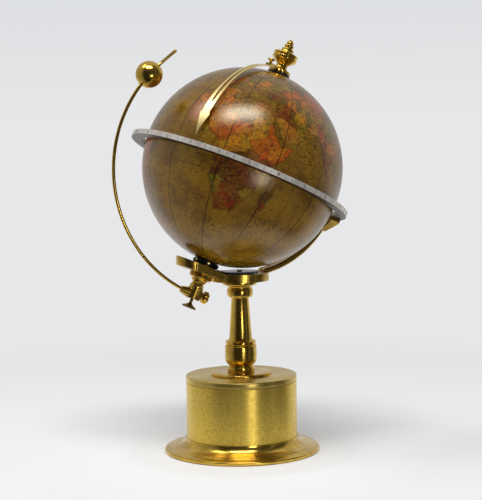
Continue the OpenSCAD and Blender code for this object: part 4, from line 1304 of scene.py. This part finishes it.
@dataclass
class Globe:
    """The two papered half shells of the globe."""

    segments: int = 560
    rings: int = 140
    inner_rings: int = 20
    wall: float = 2.2
    bore: float = 1.52

    def quarter(self, radius: float, rings: int) -> Profile:
        """The quarter circle from the equator to the bore at the pole.

        Args:
            radius: Its radius in millimetres.
            rings: Its parts.

        Returns:
            Its corners.
        """
        last = math.acos(self.bore / radius)
        turns = [last * step / rings for step in range(rings + 1)]
        return [(radius * math.cos(turn), radius * math.sin(turn)) for turn in turns]

    def half_shell(self, name: str) -> bpy.types.Object:
        """A half shell with its outer and inner wall, closed at the equator and in the bore."""
        inner = self.quarter(GLOBE_R - self.wall, self.inner_rings)
        return Bench.lathe(name, self.quarter(GLOBE_R, self.rings) + inner[::-1], self.segments)

    def build(self) -> list[bpy.types.Object]:
        """Builds both halves, paints the map on them and dresses them.

        Returns:
            The two halves.
        """
        paper, board, chart = GLOBE_PAPER.material(), FIBRE.material(Axis.POLAR), GlobeMap()
        north = self.half_shell("map_north")
        south = north.copy()
        south.data = north.data.copy()
        south.name = south.data.name = "map_south"
        bpy.context.scene.collection.objects.link(south)
        south.data.transform(Matrix.Scale(-1, 4, (0, 0, 1)))
        south.data.flip_normals()
        skin = (GLOBE_R - 0.3) * MM
        for piece, node in ((north, "globe_north"), (south, "globe_south")):
            chart.paint(piece.data)
            piece.data.materials.append(paper)
            piece.data.materials.append(board)
            centres = Bench.places(piece.data.polygons, "center")
            inner = (np.linalg.norm(centres, axis=1) < skin).astype(int)
            piece.data.polygons.foreach_set("material_index", inner)
            Bench.finish(piece, POLAR_FRAME)
            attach(piece, Body.GLOBE.value)
            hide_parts(node)
        return [north, south]


@dataclass
class HourRing:
    """Numerals and strokes on the rim of the hour ring: the hours one to twelve, twice round."""

    rim: float = 71.9
    low: float = -6.9
    high: float = -3.6
    figure_size: float = 2.835
    swell: float = 0.04
    proud: float = 0.03
    first_azimuth: float = 219.0
    quarter: float = 3.75
    half_stroke: Point = (1.9, 0.3)
    quarter_stroke: Point = (1.1, 0.22)

    def wrap(self, piece: bpy.types.Object, azimuth: float) -> None:
        """Bends a flat mesh round the rim.

        Args:
            piece: The mesh, flat in its own x and y.
            azimuth: Where it stands round the ring, in degrees.
        """
        for vertex in piece.data.vertices:
            x, y, z = vertex.co
            turn = math.radians(azimuth) + x / (self.rim * MM)
            radius = self.rim * MM + z
            height = y + (self.low + self.high) / 2 * MM
            vertex.co = (radius * math.cos(turn), radius * math.sin(turn), height)

    def figure(self, text: str) -> bpy.types.Object:
        """One numeral as a thin raised mesh.

        Args:
            text: The number.

        Returns:
            The mesh object, flat.
        """
        Bench.clear()
        bpy.ops.object.text_add()
        letters = bpy.context.object
        data = letters.data
        data.body, data.size, data.extrude = text, self.figure_size * MM, self.proud * MM
        data.align_x, data.align_y = "CENTER", "CENTER"
        data.offset, data.resolution_u = self.swell * MM, 4
        bpy.ops.object.convert(target="MESH")
        return bpy.context.object

    def stroke(self, height: float, width: float) -> bpy.types.Object:
        """One raised stroke with a narrowed face.

        Args:
            height: Its length in millimetres.
            width: Its width in millimetres.

        Returns:
            The mesh object, flat.
        """
        Bench.clear()
        bpy.ops.mesh.primitive_cube_add(size=1)
        piece = bpy.context.object
        bpy.ops.object.mode_set(mode="EDIT")
        size = (width * MM, height * MM, 2 * self.proud * MM)
        bpy.ops.transform.resize(value=size, center_override=(0, 0, 0))
        Bench.leave()
        Bench.pick(piece, "FACE", lambda at: at[:, 2] > self.proud * MM * 0.9)
        bpy.ops.mesh.inset(thickness=width * 0.2 * MM, depth=0)
        Bench.leave()
        return piece

    def build(self) -> list[bpy.types.Object]:
        """Builds the numerals and strokes as one piece.

        Returns:
            The marks.
        """
        marks = []
        for hour in range(24):
            azimuth = self.first_azimuth + 15 * hour
            figure = self.figure(str(hour % 12 + 1))
            self.wrap(figure, azimuth)
            marks.append(figure)
            for part in range(1, 4):
                stroke = self.stroke(*(self.half_stroke if part == 2 else self.quarter_stroke))
                self.wrap(stroke, azimuth + part * self.quarter)
                marks.append(stroke)
        Bench.clear()
        for mark in marks:
            mark.select_set(True)
        bpy.context.view_layer.objects.active = marks[0]
        bpy.ops.object.join()
        piece = Bench.adopt("ring_marks")
        piece.matrix_world = Matrix.Identity(4)
        Bench.finish(piece, POLAR_FRAME, 20)
        piece.data.materials.clear()
        piece.data.materials.append(INK.material(Axis.POLAR))
        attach(piece, Body.STAND.value)
        return [piece]


class Dressing:
    """Finishes of the CAD nodes that stay as they are."""

    FINISHES = {
        (DRUM_BRASS, Axis.UPRIGHT): "drum_case",
        (SATIN_BRASS, Axis.UPRIGHT): "bottom_cover column_nut",
        (CAST_BRASS, Axis.UPRIGHT): "bracket bracket_screws upper_bush",
        (RUBBED_BRASS, Axis.POLAR): "pointer_hub arm_bearing sun_rod sun_ball arm_knob",
        (POINTER_BRASS, Axis.POLAR): "hour_pointer collar_screws",
        (CAST_BRASS, Axis.POLAR): "arm_block",
        (SILVERED, Axis.POLAR): "hour_ring",
        (BLACK_COLLAR, Axis.POLAR): "south_collar north_washer",
        (STEEL, Axis.POLAR): "ring_screws polar_arbor idler_stud",
        (STEEL, Axis.UPRIGHT): (
            "cover_screws drive_shaft drive_wheel barrel_arbor ratchet_wheel click lever regulator"
        ),
        (DARK_BRASS, Axis.POLAR): "polar_wheel idler_wheel",
        (DARK_BRASS, Axis.UPRIGHT): "drive_wheel_screw",
        (FIBRE, Axis.POLAR): "equator_hoop pole_plugs",
        (BLUED_STEEL, Axis.UPRIGHT): "pillar_screws click_spring hairspring mainspring",
        (MOVEMENT_BRASS, Axis.UPRIGHT): (
            "movement_base_plate movement_top_plate movement_pillars spring_barrel barrel_cover centre_wheel "
            "third_wheel escape_wheel intermediate_wheel output_wheel escapement_platform balance_wheel "
            "balance_cock"
        ),
        (POLISHED_BRASS, Axis.UPRIGHT): "winding_key",
    }

    @classmethod
    def dress(cls, nodes: dict[str, bpy.types.Object]) -> int:
        """Gives each listed node its finish.

        Args:
            nodes: The CAD nodes by name.

        Returns:
            How many were dressed.
        """
        count = 0
        for (finish, axis), names in cls.FINISHES.items():
            for name in names.split():
                mesh = nodes[name].data
                mesh.materials.clear()
                mesh.materials.append(finish.material(axis))
                count += 1
        return count


@dataclass
class Softened:
    """Copies of CAD nodes with their triangles joined and smoothly shaded, in the nodes' own places."""

    record: dict
    nodes: dict[str, bpy.types.Object]
    round_names: str = "sun_rod sun_ball drum_case south_collar north_washer"
    flat_names: str = "hour_ring pointer_hub hour_pointer"
    cast_names: str = "bracket arm_knob arm_block arm_bearing"
    round_sharp: float = 40.0
    flat_sharp: float = 28.0
    cast_sharp: float = 16.0

    def build(self) -> list[bpy.types.Object]:
        """Copies, joins and shades each node; the copy keeps the node's finish.

        Returns:
            The copies.
        """
        bodies = {node: body for body, group in self.record["behaviour"]["bodies"].items() for node in group}
        kinds = (
            (self.round_names, self.round_sharp),
            (self.flat_names, self.flat_sharp),
            (self.cast_names, self.cast_sharp),
        )
        return [self.copy(name, bodies[name], sharp) for names, sharp in kinds for name in names.split()]

    def copy(self, name: str, body: str, sharp: float) -> bpy.types.Object:
        """One copy.

        Args:
            name: The node.
            body: The body that it rides on.
            sharp: Edges sharper than this many degrees stay sharp.

        Returns:
            The copy, which stands for the node.
        """
        piece = bpy.data.objects.new("smooth_" + name, self.nodes[name].data.copy())
        piece.data.name = piece.name
        bpy.context.scene.collection.objects.link(piece)
        Bench.hold(piece)
        Bench.enter()
        bpy.ops.mesh.remove_doubles(threshold=WELD)
        Bench.leave()
        Bench.finish(piece, Matrix.Identity(4), sharp)
        if name in self.flat_names.split():
            weigh = piece.modifiers.new("weighted", "WEIGHTED_NORMAL")
            weigh.keep_sharp, weigh.weight = True, 100
            bpy.ops.object.modifier_apply(modifier=weigh.name)
        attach(piece, body)
        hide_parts(name)
        return piece


@dataclass
class SoftBox:
    """One soft lamp aimed at the object."""

    name: str
    aim: Vector
    width: float
    height: float
    radiance: float
    distance: float = 1.25
    lights_all: bool = True

    def build(self, target: Vector) -> bpy.types.Object:
        """Hangs the lamp.

        Args:
            target: The point it faces.

        Returns:
            The lamp.
        """
        data = bpy.data.lights.new(self.name, "AREA")
        data.shape, data.size, data.size_y = "RECTANGLE", self.width, self.height
        data.energy = self.radiance * math.pi * self.width * self.height
        lamp = bpy.data.objects.new(self.name, data)
        away = self.aim.normalized()
        lamp.location = target + away * self.distance
        lamp.rotation_mode = "QUATERNION"
        lamp.rotation_quaternion = away.to_track_quat("Z", "Y")
        lamp.visible_camera = False
        lamp.visible_diffuse = self.lights_all
        bpy.context.scene.collection.objects.link(lamp)
        return lamp


@dataclass
class Studio:
    """Camera, floor, world, soft lamps and the dark room that only the metal's reflections show."""

    eye: Vector = Vector((1.146, -944.55, 210.20)) * MM
    pitch: float = math.radians(4.996)
    roll: float = math.radians(0.928)
    lens: float = 108.143
    target: Vector = Vector((0, 0, 150)) * MM
    floor_size: float = 14.0
    haze: Colour = (0.8, 0.8, 0.815)
    heights: tuple[tuple[float, Colour], ...] = (
        (0.0, (0.8, 0.8, 0.815)), (0.09, (0.72, 0.73, 0.75)), (0.45, (0.6, 0.605, 0.61)),
        (0.9, (0.24, 0.245, 0.25)),
    )
    fade_from: float = 0.27
    fade_to: float = 0.52
    room_r: float = 1.45
    room_side: float = 120.0
    room_tones: tuple[Point, ...] = (
        (-120, 0.55), (-92, 0.45), (-70, 0.32), (-52, 0.12), (-46, 0.025), (-2, 0.025), (34, 0.05),
        (48, 0.03), (60, 0.05), (64, 0.3), (70, 0.06), (98, 0.08), (106, 0.45), (120, 0.6),
    )
    ceiling: float = 0.2
    paper_edge: Point = (0.075, 0.15)
    paper_tone: float = 0.9

    def camera(self) -> None:
        """Sets the camera at the photograph's place."""
        data = bpy.data.cameras.new("camera")
        data.sensor_width, data.lens = 36.0, self.lens
        data.clip_start, data.clip_end = 0.01, 50
        camera = bpy.data.objects.new("camera", data)
        tilt = Matrix.Rotation(math.pi / 2 - self.pitch, 4, "X")
        camera.matrix_world = Matrix.Translation(self.eye) @ tilt @ Matrix.Rotation(-self.roll, 4, "Z")
        bpy.context.scene.collection.objects.link(camera)
        bpy.context.scene.camera = camera

    def floor(self) -> None:
        """Lays the pale floor, which fades into the haze of the backdrop."""
        Bench.clear()
        bpy.ops.mesh.primitive_plane_add(size=self.floor_size)
        floor = Bench.adopt("floor")
        recipe = Recipe("floor_pale")
        where = recipe.place(Matrix.Identity(4))
        tone = recipe.blend(recipe.noise(where, 300, 2), (0.93, 0.93, 0.935), (0.95, 0.95, 0.95))
        recipe.paint(tone, 0.6)
        recipe.give(Specular_IOR_Level=0.2)
        far = recipe.ease(recipe.length(*recipe.split(where)[:2]), self.fade_from, self.fade_to)
        path = recipe.add("LightPath")
        rays = [path.outputs[f"Is {kind} Ray"] for kind in ("Camera", "Glossy", "Transmission")]
        seen = recipe.math("MAXIMUM", rays[0], recipe.math("MAXIMUM", rays[1], rays[2]))
        mix = recipe.add("MixShader")
        shaders = (recipe.shader.outputs[0], recipe.glow(self.haze))
        for socket, value in zip(mix.inputs, (recipe.math("MULTIPLY", far, seen), *shaders)):
            recipe.feed(socket, value)
        recipe.surface(mix.outputs[0])
        floor.data.materials.append(recipe.material)

    def world(self) -> None:
        """Fills the room with even pale light, darker above."""
        world = bpy.data.worlds.new("studio")
        bpy.context.scene.world = world
        world.use_nodes = True
        nodes, links = world.node_tree.nodes, world.node_tree.links
        backdrop = nodes["Background"]
        parts = nodes.new("ShaderNodeSeparateXYZ")
        links.new(nodes.new("ShaderNodeTexCoord").outputs["Generated"], parts.inputs[0])
        ramp = nodes.new("ShaderNodeValToRGB")
        fill_ramp(ramp, self.heights)
        links.new(parts.outputs["Z"], ramp.inputs[0])
        links.new(ramp.outputs[0], backdrop.inputs["Color"])

    def room_material(self) -> bpy.types.Material:
        """The dim room round the camera, by direction.

        Returns:
            An emission that darkens towards the camera's side and beyond the paper's edge.
        """
        recipe = Recipe("room_dim")
        x, y, z = recipe.split(recipe.place(Matrix.Identity(4)))
        turn = recipe.math("DIVIDE", recipe.math("ARCTAN2", x, recipe.math("MULTIPLY", y, -1)), math.tau)
        wall = recipe.ramp(
            recipe.math("ADD", turn, 0.5), [(a / 360 + 0.5, (t, t, t)) for a, t in self.room_tones]
        )
        high = recipe.ease(recipe.math("DIVIDE", z, self.room_r), 0.3, 0.8)
        tone = recipe.blend(high, wall, (self.ceiling,) * 3)
        paper = recipe.ease(recipe.length(x, y), self.paper_edge[1], self.paper_edge[0])
        tone = recipe.blend(paper, tone, (self.paper_tone,) * 3)
        tone = recipe.blend(recipe.ease(z, 0.5, 0.3), wall, tone)
        recipe.surface(recipe.glow(tone))
        recipe.material.cycles.emission_sampling = "NONE"
        return recipe.material

    def room(self) -> None:
        """Builds the dim room: a dome and the floor beyond the paper, on the camera's side only."""
        Bench.clear()
        bpy.ops.mesh.primitive_uv_sphere_add(segments=72, ring_count=36, radius=self.room_r)
        dome = Bench.adopt("room_dome")
        Bench.clear()
        bpy.ops.mesh.primitive_circle_add(vertices=72, radius=self.room_r, location=(0, 0, 0.0004))
        ground = Bench.adopt("room_floor")
        Bench.enter()
        bpy.ops.mesh.extrude_region_move()
        inner = self.paper_edge[0] / self.room_r
        bpy.ops.transform.resize(value=(inner, inner, 1), center_override=(0, 0, 0))
        Bench.leave()
        side = math.radians(self.room_side)
        material = self.room_material()
        for part, low in ((dome, 0.0), (ground, -1.0)):
            Bench.pick(
                part,
                "FACE",
                lambda at, low=low: (abs(np.arctan2(at[:, 0], -at[:, 1])) > side) | (at[:, 2] < low),
            )
            bpy.ops.mesh.delete(type="FACE")
            Bench.leave()
            part.data.materials.append(material)
            part.visible_camera = part.visible_diffuse = False
            part.visible_shadow = part.visible_transmission = False

    def build(self) -> None:
        """Sets up the whole studio."""
        self.camera()
        self.floor()
        self.world()
        self.room()
        for box in (
            SoftBox("key", Vector((0.0, -0.42, 0.91)), 0.76, 0.3, 14.2),
            SoftBox("side", Vector((-0.48, -0.08, 0.85)), 0.4, 0.4, 4.5),
            SoftBox("low", Vector((0.27, -0.71, -0.11)), 0.17, 0.13, 10.0, 0.77, lights_all=False),
        ):
            box.build(self.target)
        bpy.context.scene.view_settings.view_transform = "Standard"


def main() -> None:
    """Loads the frame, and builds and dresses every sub-assembly."""
    logging.basicConfig(level=logging.INFO, format="%(relativeCreated)6d ms  %(message)s")
    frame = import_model()
    Bench.clear()
    LOG.info("dressed %d CAD nodes", Dressing.dress(frame["nodes"]))
    softened = Softened(frame["record"], frame["nodes"])
    for group in (HourRing(), softened, Base(), Column(), NorthEnd(), SouthEnd(), Globe()):
        for piece in group.build():
            LOG.info("%s: %s, %d faces", type(group).__name__, piece.name, len(piece.data.polygons))
    Studio().build()


if __name__ == "__main__":
    main()
